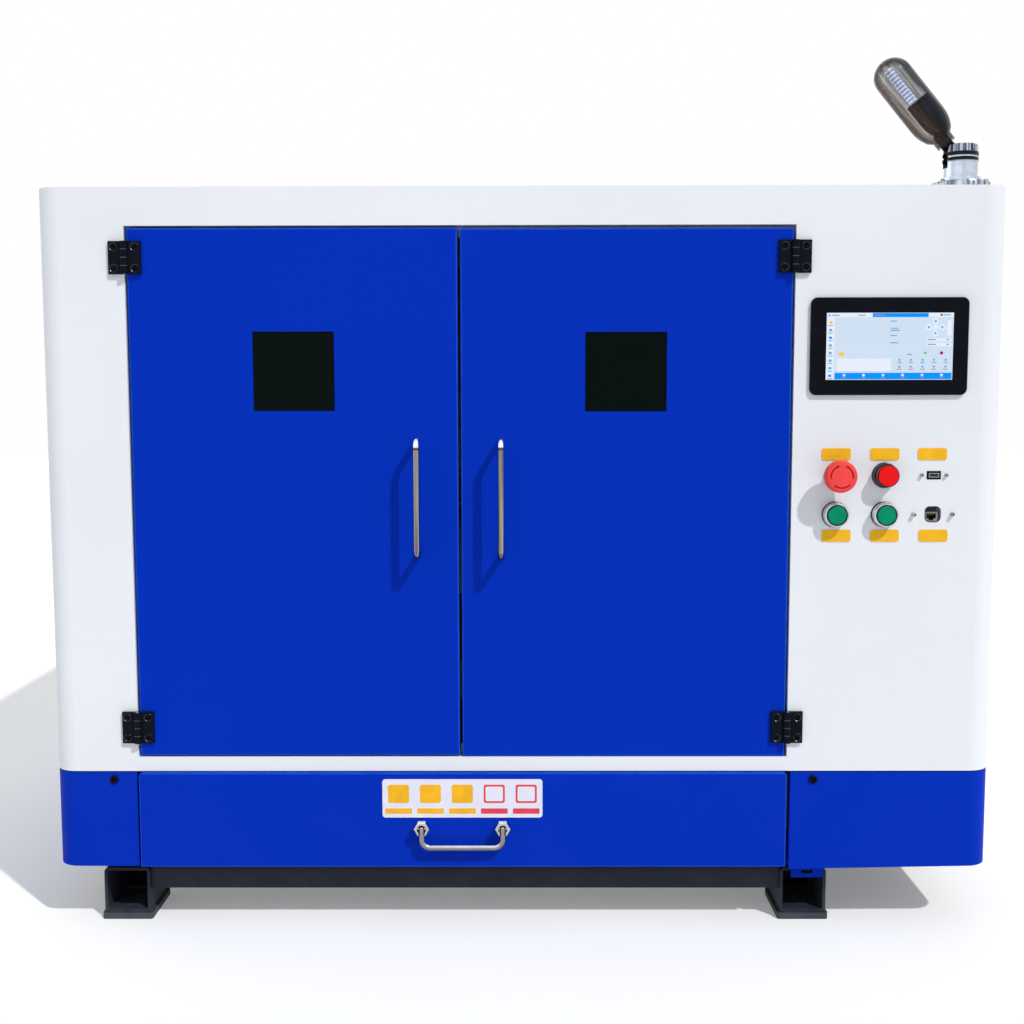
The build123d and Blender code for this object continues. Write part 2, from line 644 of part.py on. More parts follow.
def skirt_right():
    """Blue skirt round the right front corner, its lower edge a little out of level, with a slotted tab."""
    sheet = body_wall(SKIRT_BOTTOM, SKIRT_TOP)
    sheet &= span(SKIRT_RIGHT_EDGE, RIGHT + 1, FRONT - 1, REAR, SKIRT_BOTTOM, SKIRT_TOP)
    sheet -= span(SKIRT_RIGHT_EDGE, INNER_RIGHT, INNER_REAR - 1, REAR + 1, SKIRT_BOTTOM, SKIRT_TOP)
    x0 = SKIRT_RIGHT_EDGE
    wedge = make_face(Polyline((x0, SKIRT_BOTTOM - RIGHT_SKIRT_DIP), (RIGHT - CORNER_RADIUS, SKIRT_BOTTOM),
                               (x0, SKIRT_BOTTOM), close=True))
    apron = extrude(Plane(origin=(0, FRONT, 0), x_dir=(1, 0, 0), z_dir=(0, -1, 0)) * wedge, -SHEET)
    edge = span(x0, x0 + SHEET, FRONT, FRONT + SKIRT_FLANGE, SKIRT_BOTTOM, SKIRT_TOP)
    flange = span(x0, RIGHT - CORNER_RADIUS, FRONT, FRONT + SKIRT_FLANGE, SKIRT_BOTTOM,
                  SKIRT_BOTTOM + SHEET)
    tab_x = x0 + TAB_INSET
    tab_y = FRONT + SKIRT_FLANGE - SHEET
    tab = span(tab_x, tab_x + TAB_WIDTH, tab_y, tab_y + SHEET, SKIRT_BOTTOM - TAB_DROP - RIGHT_SKIRT_DIP,
               SKIRT_BOTTOM)
    slot_x = tab_x + TAB_WIDTH / 2
    slot_z = SKIRT_BOTTOM - RIGHT_SKIRT_DIP - TAB_DROP / 2
    tab -= span(slot_x - TAB_SLOT_WIDTH / 2, slot_x + TAB_SLOT_WIDTH / 2, tab_y - 1, tab_y + SHEET + 1,
                slot_z - TAB_SLOT_HEIGHT / 2, slot_z + TAB_SLOT_HEIGHT / 2)
    return sheet + apron + edge + flange + tab - skirt_screw_hole(SKIRT_RIGHT_EDGE + SKIRT_SCREW_INSET)


def skirt_rear():
    """Blue sheet across the back below the housing."""
    return span(INNER_LEFT, INNER_RIGHT, INNER_REAR, REAR, SKIRT_BOTTOM, SKIRT_TOP)


def cabinet_tray():
    """Wall between work space and electrical compartment, folded round the operator panel, with its floor."""
    x0 = OPEN_X1 + SHEET
    back = FRONT + ALCOVE_DEPTH
    wall_x = RAIL_OUT_RIGHT
    outline = [(x0, FRONT + SHEET + 4), (x0, back), (wall_x, back), (wall_x, INNER_REAR),
               (wall_x + SHEET, INNER_REAR), (wall_x + SHEET, back - SHEET), (x0 + SHEET, back - SHEET),
               (x0 + SHEET, FRONT + SHEET + 4)]
    wall = extrude(Pos(0, 0, RAIL_TOP) * make_face(Polyline(*outline, close=True)), ROOF_UNDER - RAIL_TOP)
    floor = span(wall_x, INNER_RIGHT, POST_FRONT, INNER_REAR, RAIL_TOP, RAIL_TOP + FLOOR_SHEET)
    tray = wall + floor
    for y in (POST_FRONT, INNER_REAR - POST):
        tray -= span(INNER_LEFT, INNER_RIGHT, y, y + POST, BEAM_Z, ROOF_UNDER)
        tray -= span(INNER_RIGHT - POST, INNER_RIGHT, y, y + POST, RAIL_TOP, BEAM_Z)
    return tray


def hinge_leaf(x, z, side, first):
    """One leaf with every second knuckle; side is +1 to the right, first is its lowest knuckle's number."""
    half = HINGE_SIZE / 2
    radius = HINGE_THICKNESS
    low, high = sorted((x, x + side * half))
    leaf = span(low, high, HINGE_Y, FRONT, z - half, z + half)
    edge = leaf.edges().filter_by(Axis.Z).sort_by(lambda e: side * e.center().X - e.center().Y)[-1]
    leaf = chamfer(edge, 1.2)
    step = HINGE_SIZE / HINGE_KNUCKLES
    gap = HINGE_AXIAL_GAP / 2
    fixed = first == 0
    bore = HINGE_PIN_RADIUS if fixed else HINGE_PIN_RADIUS + HINGE_RUNNING_GAP
    for k in range(HINGE_KNUCKLES):
        z0 = z - half + k * step
        if k % 2 == first:
            leaf += rod((x, HINGE_Y, z0 + gap), (x, HINGE_Y, z0 + step - gap), radius)
        else:
            leaf -= rod((x, HINGE_Y, z0 - gap), (x, HINGE_Y, z0 + step + gap), radius + 0.4)
    leaf -= rod((x, HINGE_Y, z - half - 1), (x, HINGE_Y, z + half + 1), bore)
    sx = x + side * HINGE_SCREW_PITCH / 2
    for dz in (-HINGE_SCREW_PITCH / 2, HINGE_SCREW_PITCH / 2):
        leaf -= rod((sx, HINGE_Y - 1, z + dz), (sx, FRONT + 1, z + dz), HINGE_SCREW_SHANK / 2 + 0.1)
        leaf -= rod((sx, HINGE_Y - 1, z + dz), (sx, HINGE_Y + 3.2, z + dz), HINGE_SCREW_HEAD / 2 + 0.2)
    return leaf.solid()


def hinge_screws(x, side, drop=0.0):
    """The screws of both leaves on one side of a hinge line, sunk in their counterbores."""
    made = []
    sx = x + side * HINGE_SCREW_PITCH / 2
    for z in HINGE_ZS:
        for dz in (-HINGE_SCREW_PITCH / 2, HINGE_SCREW_PITCH / 2):
            made.append(socket_screw(sx, z + dz - drop, HINGE_SCREW_HEAD / 2, 2.6, HINGE_SCREW_SHANK / 2,
                                     HINGE_Y + 3.2, 8.0).solid())
    return made


def hinge_leaves():
    """The four leaves that are screwed to the front."""
    made = [hinge_leaf(HINGE_LEFT_X, z, -1, 0) for z in HINGE_ZS]
    made += [hinge_leaf(HINGE_RIGHT_X, z, 1, 0) for z in HINGE_ZS]
    return group(made)


def hinge_pins():
    """One pin through the knuckles of each hinge."""
    half = HINGE_SIZE / 2
    return group([rod((x, HINGE_Y, z - half), (x, HINGE_Y, z + half), HINGE_PIN_RADIUS)
                  for x in (HINGE_LEFT_X, HINGE_RIGHT_X) for z in HINGE_ZS])


def door_span(left):
    """X range of one door."""
    if left:
        x0 = OPEN_X0 + DOOR_SIDE_GAP
        return x0, x0 + DOOR_WIDTH + DOOR_SPLIT_SHIFT
    x1 = OPEN_X1 - DOOR_SIDE_GAP
    return x1 - DOOR_WIDTH + DOOR_SPLIT_SHIFT, x1


def door_heights(left):
    """Z range of one door; the right one hangs a little lower."""
    drop = 0.0 if left else RIGHT_DOOR_DROP
    return DOOR_Z0 - drop, DOOR_Z1 - drop


def window_box(left, margin, y0, y1):
    """A block in the place of one window, larger than the cut-out by a margin all round."""
    x0, x1 = door_span(left)
    top = door_heights(left)[1]
    x = (x0 + x1) / 2
    z1 = top - WINDOW_BELOW_DOOR_TOP
    half = WINDOW_WIDTH / 2 + margin
    return span(x - half, x + half, y0, y1, z1 - WINDOW_HEIGHT - margin, z1 + margin)


def door_panel(left):
    """Folded door pan with lips at the back and a square window cut-out."""
    x0, x1 = door_span(left)
    z0, z1 = door_heights(left)
    back = FRONT + DOOR_DEPTH
    pan = span(x0, x1, FRONT, back, z0, z1)
    pan = fillet(pan.faces().sort_by(Axis.Y)[0].edges(), DOOR_EDGE_RADIUS)
    pan -= span(x0 + SHEET, x1 - SHEET, FRONT + SHEET, back - SHEET, z0 + SHEET, z1 - SHEET)
    pan -= span(x0 + DOOR_LIP, x1 - DOOR_LIP, FRONT + SHEET, back + 1, z0 + DOOR_LIP, z1 - DOOR_LIP)
    pan -= window_box(left, 0, FRONT - 1, FRONT + SHEET + 1)
    hinge_x = HINGE_LEFT_X if left else HINGE_RIGHT_X
    side = 1 if left else -1
    sx = hinge_x + side * HINGE_SCREW_PITCH / 2
    for z in HINGE_ZS:
        for dz in (-HINGE_SCREW_PITCH / 2, HINGE_SCREW_PITCH / 2):
            pan -= rod((sx, FRONT - 1, z + dz), (sx, FRONT + SHEET + 1, z + dz), HINGE_SCREW_SHANK / 2 + 0.1)
    for x, z in handle_feet(left):
        pan -= rod((x, FRONT - 1, z), (x, FRONT + SHEET + 1, z), HINGE_SCREW_SHANK / 2 + 0.1)
    return pan


def handle_feet(left):
    """Where the two feet of a door handle stand."""
    x0, x1 = door_span(left)
    z0, z1 = door_heights(left)
    x = x1 - HANDLE_INSET if left else x0 + HANDLE_INSET
    half = (HANDLE_LENGTH - HANDLE_ROD) / 2
    middle = (z0 + z1) / 2
    return [(x, middle - half), (x, middle + half)]


def door_window(left):
    """Pane of filter glass behind the cut-out."""
    return window_box(left, WINDOW_OVERLAP, FRONT + SHEET, FRONT + SHEET + WINDOW_THICKNESS)


def bent_handle(points, radii, radius):
    """Round bar bent along a path."""
    path = FilletPolyline(*points, radius=radii)
    start = path @ 0
    return sweep(Plane(origin=start, z_dir=path % 0) * Circle(radius), path=path)


def door_handle(left):
    """Upright bow handle of chromed bar with tapped feet."""
    low, high = handle_feet(left)
    y = FRONT - HANDLE_REACH + HANDLE_ROD / 2
    points = [(low[0], FRONT, low[1]), (low[0], y, low[1]), (high[0], y, high[1]), (high[0], FRONT, high[1])]
    bow = bent_handle(points, HANDLE_BEND, HANDLE_ROD / 2)
    for x, z in (low, high):
        bow -= rod((x, FRONT - 9, z), (x, FRONT + 1, z), HINGE_SCREW_SHANK / 2)
    return bow


def door_screws(left):
    """Hinge screws of one door and the two screws that hold its handle from the inside."""
    side = 1 if left else -1
    made = hinge_screws(HINGE_LEFT_X if left else HINGE_RIGHT_X, side)
    for x, z in handle_feet(left):
        seat = FRONT + SHEET
        screw = rod((x, FRONT - 8, z), (x, seat, z), HINGE_SCREW_SHANK / 2)
        screw += rod((x, seat, z), (x, seat + 2.6, z), HINGE_SCREW_HEAD / 2)
        made.append(screw.solid())
    return group(made)


def door_hinge_leaves(left):
    """The two leaves that are screwed to one door."""
    x = HINGE_LEFT_X if left else HINGE_RIGHT_X
    side = 1 if left else -1
    return group([hinge_leaf(x, z, side, 1) for z in HINGE_ZS])


DRAWER_X0 = OPEN_X0
DRAWER_X1 = OPEN_X1
PLAQUE_X = (OPEN_X0 + OPEN_X1) / 2
DRAWER_FACE = FRONT - DRAWER_PROUD
BAIL_Z = SKIRT_TOP - BAIL_BELOW_TOP
BAIL_Y = DRAWER_FACE - BAIL_PIVOT_REACH


def drawer_front():
    """Blue drawer front, a folded pan with rounded upper corners."""
    back = FRONT + DRAWER_DEPTH
    pan = span(DRAWER_X0, DRAWER_X1, DRAWER_FACE, back, SKIRT_BOTTOM, SKIRT_TOP)
    upper = pan.edges().filter_by(Axis.Y).group_by(Axis.Z)[-1]
    pan = fillet(upper, DRAWER_CORNER)
    pan = fillet(pan.faces().sort_by(Axis.Y)[0].edges(), DOOR_EDGE_RADIUS)
    pan -= span(DRAWER_X0 + SHEET, DRAWER_X1 - SHEET, DRAWER_FACE + SHEET, back + 1, SKIRT_BOTTOM + SHEET,
                SKIRT_TOP - SHEET)
    return pan


def drawer_tray():
    """Open scrap tray with the moving members of its slides on both sides."""
    x0 = RAIL_IN_LEFT + SLIDE_WIDTH
    x1 = RAIL_IN_RIGHT - SLIDE_WIDTH
    y0 = DRAWER_FACE + SHEET
    y1 = y0 + TRAY_LENGTH
    z0 = SKIRT_BOTTOM + TRAY_FLOOR_GAP
    z1 = z0 + TRAY_HEIGHT
    tray = span(x0, x1, y0, y1, z0, z1)
    tray -= span(x0 + TRAY_WALL, x1 - TRAY_WALL, y0 + TRAY_WALL, y1 - TRAY_WALL, z0 + TRAY_WALL, z1 + 1)
    made = [tray]
    for side, face in ((-1, x0), (1, x1)):
        made.append(slide_member(face, side, SLIDE_GAP + SLIDE_WALL))
    return group(made)


def slide_member(face_x, side, inset):
    """Channel-shaped slide member, its web on face_x and its flanges towards side."""
    z1 = RAIL_TOP - inset
    z0 = RAIL_TOP - SLIDE_HEIGHT + inset
    reach = SLIDE_WIDTH - SLIDE_WALL - SLIDE_GAP
    y0 = FRONT + FOOT_SETBACK + CROSS_SETBACK
    a, b = sorted((face_x, face_x + side * reach))
    channel = span(a, b, y0, y0 + SLIDE_LENGTH, z0, z1)
    c, d = sorted((face_x + side * SLIDE_WALL, face_x + side * (reach + 1)))
    return channel - span(c, d, y0 - 1, y0 + SLIDE_LENGTH + 1, z0 + SLIDE_WALL, z1 - SLIDE_WALL)


def drawer_slides():
    """Fixed members of the drawer slides on the inner faces of the rails."""
    return group([slide_member(RAIL_IN_LEFT, 1, 0), slide_member(RAIL_IN_RIGHT, -1, 0)])


def drawer_plaque():
    """Bare plate on the drawer front."""
    z = SKIRT_TOP - PLAQUE_TOP_INSET - PLAQUE_HEIGHT / 2
    outline = RectangleRounded(PLAQUE_WIDTH, PLAQUE_HEIGHT, PLAQUE_RADIUS)
    return extrude(front_plane(PLAQUE_X, z, DRAWER_FACE) * outline, PLAQUE_THICKNESS)


def bail_bosses():
    """Hexagon cups, slotted below for the bail, with a cross pin in each."""
    made = []
    for x in (PLAQUE_X - BAIL_SPAN / 2, PLAQUE_X + BAIL_SPAN / 2):
        hexagon = RegularPolygon(BOSS_ACROSS / 2, 6, major_radius=False)
        boss = extrude(front_plane(x, BAIL_Z, DRAWER_FACE) * hexagon, BOSS_REACH)
        cheek = BAIL_ROD / 2 + SKIN
        floor = BAIL_Y + BAIL_ROD / 2 + 1
        boss = chamfer(boss.faces().sort_by(Axis.Y)[0].edges(), 0.7)
        mouth = DRAWER_FACE - BOSS_REACH - 1
        boss -= rod((x, mouth, BAIL_Z), (x, floor, BAIL_Z), BOSS_BORE_RADIUS)
        boss -= span(x - cheek, x + cheek, mouth, floor, BAIL_Z - BOSS_ACROSS, BAIL_Z)
        pin_half = BOSS_ACROSS / 2 - 1
        bore = rod((x - pin_half, BAIL_Y, BAIL_Z), (x + pin_half, BAIL_Y, BAIL_Z), BAIL_PIN_RADIUS)
        made.append((boss - bore).solid())
        made.append(bore.solid())
    return group(made)


def drawer_bail():
    """Chromed bail with an eye at each end, hanging from its pins."""
    x0 = PLAQUE_X - BAIL_SPAN / 2
    x1 = PLAQUE_X + BAIL_SPAN / 2
    low = BAIL_Z - BAIL_DROP
    points = [(x0, BAIL_Y, BAIL_Z), (x0, BAIL_Y, low), (x1, BAIL_Y, low), (x1, BAIL_Y, BAIL_Z)]
    bow = bent_handle(points, BAIL_BEND, BAIL_ROD / 2)
    for x in (x0, x1):
        bow += Pos(x, BAIL_Y, BAIL_Z) * Sphere(BAIL_ROD / 2)
    for x in (x0, x1):
        bow -= rod((x - BAIL_ROD, BAIL_Y, BAIL_Z), (x + BAIL_ROD, BAIL_Y, BAIL_Z), BAIL_PIN_RADIUS + 0.05)
    return bow


def display_housing():
    """Operator display: rounded bezel with a screen recess and the body behind the sheet."""
    bezel = extrude(front_plane(DISPLAY_X, DISPLAY_Z) * RectangleRounded(DISPLAY_WIDTH, DISPLAY_HEIGHT,
                                                                         DISPLAY_RADIUS), DISPLAY_PROUD)
    bezel = chamfer(bezel.faces().sort_by(Axis.Y)[0].edges(), 1.0)
    half_w = DISPLAY_WIDTH / 2 - DISPLAY_BODY_MARGIN - SKIN
    half_h = DISPLAY_HEIGHT / 2 - DISPLAY_BODY_MARGIN - SKIN
    body = span(DISPLAY_X - half_w, DISPLAY_X + half_w, FRONT, FRONT + DISPLAY_BODY_DEPTH,
                DISPLAY_Z - half_h, DISPLAY_Z + half_h)
    return bezel + body - screen_box(FRONT - DISPLAY_PROUD - 1, FRONT - DISPLAY_PROUD + SCREEN_RECESS)


def screen_box(y0, y1):
    """A block in the place of the screen."""
    return span(DISPLAY_X - SCREEN_WIDTH / 2, DISPLAY_X + SCREEN_WIDTH / 2, y0, y1,
                DISPLAY_Z - SCREEN_HEIGHT / 2, DISPLAY_Z + SCREEN_HEIGHT / 2)


def display_screen():
    """Touch screen glass, flush in its recess."""
    front = FRONT - DISPLAY_PROUD
    return screen_box(front + 0.2, front + SCREEN_RECESS)


def stop_collar():
    """Fixed collar of the emergency stop with its threaded body and contact block."""
    x = CONTROL_XS[0]
    z = UPPER_ROW_Z
    r = STOP_COLLAR_RADIUS
    h = STOP_COLLAR_HEIGHT
    collar = turned(x, z, [(0, 0), (r, 0), (r, 3), (r - 2, 4), (r - 3, h), (0, h)])
    collar += rod((x, FRONT, z), (x, FRONT + 20, z), PANEL_HOLE_RADIUS - SKIN)
    half = STOP_BODY / 2
    collar += span(x - half, x + half, FRONT + 20, FRONT + 20 + STOP_BODY, z - half, z + half)
    depth = FRONT + STOP_TRAVEL + 13
    collar -= rod((x, FRONT - h - 1, z), (x, depth, z), STOP_STEM_RADIUS + HINGE_RUNNING_GAP)
    return collar


def stop_stem():
    """Sliding stem of the emergency stop."""
    x = CONTROL_XS[0]
    top = FRONT - STOP_PROUD + 8
    return rod((x, FRONT + 12, UPPER_ROW_Z), (x, top, UPPER_ROW_Z), STOP_STEM_RADIUS)


def stop_head():
    """Mushroom head that twists on the stem; a shallow ring groove carries the turning arrows."""
    x = CONTROL_XS[0]
    z = UPPER_ROW_Z
    r = STOP_HEAD_RADIUS
    p = STOP_PROUD
    base = p - STOP_HEAD_HEIGHT
    profile = [(0, base), (r * 0.62, base), (r * 0.9, base + 3), (r, base + 6), (r, p - 6),
               (r * 0.97, p - 3), (r * 0.86, p - 1), (r * 0.74, p - 0.5), (r * 0.72, p - 1.3),
               (r * 0.64, p - 1.3), (r * 0.62, p - 0.3), (0, p)]
    head = turned(x, z, profile)
    return head - rod((x, FRONT - base + 1, z), (x, FRONT - p + 8, z), STOP_STEM_RADIUS + HINGE_RUNNING_GAP)


def control_bezels():
    """Fixed bodies of the pilot lamp and the two push buttons, each with its ring and contact block."""
    made = []
    places = [(CONTROL_XS[1], UPPER_ROW_Z, PILOT_RADIUS, PILOT_BEZEL_HEIGHT)]
    places += [(x, LOWER_ROW_Z, BUTTON_RADIUS, BEZEL_HEIGHT) for x in CONTROL_XS[:2]]
    for x, z, bore, h in places:
        r = BEZEL_RADIUS
        outline = [(0, 0), (r, 0), (r, 2.2), (r - 0.7, 2.6), (r - 0.7, 3.4), (r - 0.2, 3.8), (r - 0.4, h - 2.2),
                   (r - 0.9, h - 0.8), (r - 1.7, h), (0, h)]
        ring = turned(x, z, outline)
        ring -= rod((x, FRONT - h - 1, z), (x, FRONT - 3, z), bore + 0.35)
        ring += rod((x, FRONT, z), (x, FRONT + 20, z), PANEL_HOLE_RADIUS - SKIN)
        ring -= rod((x, FRONT - 4, z), (x, FRONT + 14, z), 5.0)
        half = STOP_BODY / 2
        block = span(x - half, x + half, FRONT + 20, FRONT + SWITCH_BODY_DEPTH, z - half, z + half)
        made.append((ring + block).solid())
    return group(made)


def pilot_lens():
    """Red lens of the pilot lamp, ribbed by two shallow steps."""
    r = PILOT_RADIUS
    p = PILOT_PROUD
    return turned(CONTROL_XS[1], UPPER_ROW_Z, [(0, 3), (r, 3), (r, p - 2), (r - 1.4, p - 0.6),
                                               (r - 3, p - 0.3), (r * 0.4, p), (0, p)])


def button_cap(k):
    """Green push button cap with its stem, sliding in the bezel."""
    x = CONTROL_XS[k]
    r = BUTTON_RADIUS
    p = BUTTON_PROUD
    base = 3 + BUTTON_TRAVEL + SKIN
    cap = turned(x, LOWER_ROW_Z, [(0, -10), (4.95, -10), (4.95, base), (r, base), (r, p - 1),
                                  (r - 1, p - 0.2), (r * 0.5, p - 0.5), (0, p - 0.6)])
    return cap


def usb_socket():
    """Panel socket for a memory stick with its tongue, and its flange behind the sheet."""
    x = CONTROL_XS[2]
    z = UPPER_ROW_Z
    half_w = USB_WIDTH / 2 - 0.1
    half_h = USB_HEIGHT / 2 - 0.1
    wing = USB_SCREW_SPREAD + 4.5
    body = span(x - half_w, x + half_w, FRONT - 0.6, FRONT + 22, z - half_h, z + half_h)
    body += span(x - wing, x + wing, FRONT + SHEET, FRONT + SHEET + SOCKET_FLANGE, z - half_h, z + half_h)
    body -= span(x - 6.25, x + 6.25, FRONT - 1, FRONT + 14, z - 2.6, z + 2.6)
    body -= socket_flange_holes(x, UPPER_ROW_Z)
    tongue = span(x - 5.2, x + 5.2, FRONT + 2, FRONT + 14, z + 0.2, z + 2.1)
    return body + tongue


def socket_flange_holes(x, row):
    """Clearance holes for the screws through the flange of one socket."""
    holes = None
    for dx, z in socket_screw_places():
        if z == row:
            hole = rod((x + dx, FRONT, z), (x + dx, FRONT + SHEET + SOCKET_FLANGE + 1, z), SOCKET_SHANK + 0.1)
            holes = hole if holes is None else holes + hole
    return holes


def network_socket():
    """Square panel socket with rounded corners; the network jack sits in its recess."""
    x = CONTROL_XS[2]
    z = LOWER_ROW_Z
    size = NETWORK_SIZE - 0.2
    front = FRONT + 0.2
    floor = front + NETWORK_RECESS
    body = rounded_block(x, z, size, NETWORK_CORNER - 0.1, front, FRONT + 26)
    wing = NETWORK_SCREW_SPREAD + 5
    body += span(x - wing, x + wing, FRONT + SHEET, FRONT + SHEET + SOCKET_FLANGE, z - 8, z + 8)
    inner = size - 2 * NETWORK_WALL
    recess = rounded_block(x, z, inner, NETWORK_CORNER - NETWORK_WALL, front - 1, floor)
    middle = x - NETWORK_SHIFT
    half = NETWORK_PORT_WIDTH / 2
    jack = span(x - inner / 2, middle + half + 2, front + 1, floor, z - inner / 2, z + 4.4)
    body = body - (recess - jack)
    body -= span(middle - half, middle + half, FRONT - 1, FRONT + 18, z - 5.3, z + 1.2)
    body -= span(middle - 3.1, middle + 3.1, FRONT - 1, FRONT + 18, z - 7.6, z - 5.2)
    return body - socket_flange_holes(x, LOWER_ROW_Z)


def label_plates():
    """Six small yellow plates over and under the controls."""
    made = []
    rows = ((UPPER_ROW_Z + LABEL_ABOVE, UPPER_LABEL_SHIFTS), (LOWER_ROW_Z - LABEL_BELOW, LOWER_LABEL_SHIFTS))
    for z, shifts in rows:
        for x, shift in zip(CONTROL_XS, shifts):
            outline = RectangleRounded(LABEL_WIDTH, LABEL_HEIGHT, LABEL_RADIUS)
            plate = extrude(front_plane(x + shift, z) * outline, LABEL_THICKNESS)
            made.append(plate.solid())
    return group(made)


def body_screws():
    """All fixed screws that show: skirts, hinges, sockets, lamp flange and exhaust flange."""
    z = SKIRT_TOP - SKIRT_SCREW_BELOW_TOP
    made = []
    for x in (SKIRT_LEFT_EDGE - SKIRT_SCREW_INSET, SKIRT_RIGHT_EDGE + SKIRT_SCREW_INSET):
        made.append(socket_screw(x, z, SKIRT_SCREW_RADIUS, 2.6, SKIRT_SCREW_SHANK, FRONT, 10.0).solid())
    made += hinge_screws(HINGE_LEFT_X, -1)
    made += hinge_screws(HINGE_RIGHT_X, 1)
    x = CONTROL_XS[2]
    for dx, row in socket_screw_places():
        radius, height = USB_SCREW_HEAD if row == UPPER_ROW_Z else NETWORK_SCREW_HEAD
        made.append(socket_screw(x + dx, row, radius, height, SOCKET_SHANK, FRONT, 8.0).solid())
    lamp_x = RIGHT - LAMP_RIGHT_INSET
    lamp_y = FRONT + LAMP_SETBACK
    for angle in (-30, 90, 210):
        sx = lamp_x + (LAMP_FLANGE_RADIUS - 6) * math.cos(math.radians(angle))
        sy = lamp_y + (LAMP_FLANGE_RADIUS - 6) * math.sin(math.radians(angle))
        seat = BODY_TOP + LAMP_RIM_HEIGHT
        made.append(upright(sx, sy, [(0, seat), (3.6, seat), (3.6, seat + 1.4), (2.4, seat + 2.6),
                                     (0, seat + 2.6)]).solid())
    for k in range(4):
        angle = math.radians(45 + 90 * k)
        r = (EXHAUST_RADIUS + EXHAUST_FLANGE) / 2
        ex = EXHAUST_X + r * math.cos(angle)
        ez = EXHAUST_Z + r * math.sin(angle)
        seat = REAR + EXHAUST_WALL
        made.append(rod((ex, seat, ez), (ex, seat + 3, ez), 4.0).solid())
    return group(made)


LAMP_X = RIGHT - LAMP_RIGHT_INSET
LAMP_Y = FRONT + LAMP_SETBACK
LAMP_TOP = BODY_TOP + LAMP_BASE_HEIGHT
LAMP_PIVOT_Z = LAMP_TOP - LAMP_PIVOT_BELOW_TOP


def lamp_base():
    """Flanged base of the signal lamp: a cup with a serrated ring, two bands and a slot for the stem."""
    r = LAMP_BASE_RADIUS
    f = LAMP_FLANGE_RADIUS
    z = BODY_TOP
    h = LAMP_FLANGE_HEIGHT
    top = LAMP_TOP
    ring = top - LAMP_RING_HEIGHT
    rim = z + LAMP_RIM_HEIGHT
    profile = [(0, z), (f, z), (f, rim - 2), (f - 1, rim), (r + 5, rim), (r + 4, z + h), (r, z + h),
               (r, ring - 12), (r + 0.8, ring - 11.5), (r + 0.8, ring - 7),
               (r - 0.4, ring - 6.6), (r - 0.4, ring - 5), (r + 0.8, ring - 4.6), (r + 0.8, ring),
               (r, ring), (r, top - 1), (r - 1, top), (0, top)]
    cup = upright(LAMP_X, LAMP_Y, profile)
    for k in range(LAMP_RING_TEETH):
        angle = 2 * math.pi * k / LAMP_RING_TEETH
        tx = LAMP_X + (r + 0.3) * math.cos(angle)
        ty = LAMP_Y + (r + 0.3) * math.sin(angle)
        cup -= span(tx - 0.7, tx + 0.7, ty - 0.7, ty + 0.7, ring + 0.6, top + 1)
    floor = LAMP_PIVOT_Z - LAMP_STEM_RADIUS - 4
    cup -= rod((LAMP_X, LAMP_Y, floor), (LAMP_X, LAMP_Y, top + 1), r - LAMP_BASE_WALL)
    slot = LAMP_STEM_RADIUS + 0.8
    cup -= span(LAMP_X - r - 3, LAMP_X, LAMP_Y - slot, LAMP_Y + slot, LAMP_PIVOT_Z - slot, top + 1)
    cheek = LAMP_STEM_RADIUS + 0.5
    for y0, y1 in ((LAMP_Y - r + 1, LAMP_Y - cheek), (LAMP_Y + cheek, LAMP_Y + r - 1)):
        lug = span(LAMP_X - 7, LAMP_X + 7, y0, y1, floor, LAMP_PIVOT_Z + 7)
        cup += lug & rod((LAMP_X, LAMP_Y, floor), (LAMP_X, LAMP_Y, top), r - 0.5)
    cup -= rod((LAMP_X, LAMP_Y - r + 2, LAMP_PIVOT_Z), (LAMP_X, LAMP_Y + r - 2, LAMP_PIVOT_Z),
               LAMP_PIN_RADIUS + HINGE_RUNNING_GAP)
    return cup


def lamp_frame():
    """Local frame of the tilted lamp head, its origin at the pivot and its Z along the tube."""
    lean = math.radians(LAMP_TILT)
    return Plane(origin=(LAMP_X, LAMP_Y, LAMP_PIVOT_Z), x_dir=(math.cos(lean), 0, math.sin(lean)),
                 z_dir=(-math.sin(lean), 0, math.cos(lean)))


def lamp_turned(profile, offset=0.0):
    """A piece turned about the lamp head's axis, or beside it; the profile is (radius, distance from the pivot)."""
    made = revolve(Plane.XZ * make_face(Polyline(*profile, close=True)), Axis.Z)
    return lamp_frame().from_local_coords(Pos(offset, 0, 0) * made)


def dome(radius, height, steps, start):
    """Points of a quarter circle from the rim to the tip."""
    points = []
    for k in range(steps + 1):
        angle = math.pi / 2 * k / steps
        points.append((radius * math.cos(angle), start + height * math.sin(angle)))
    return points


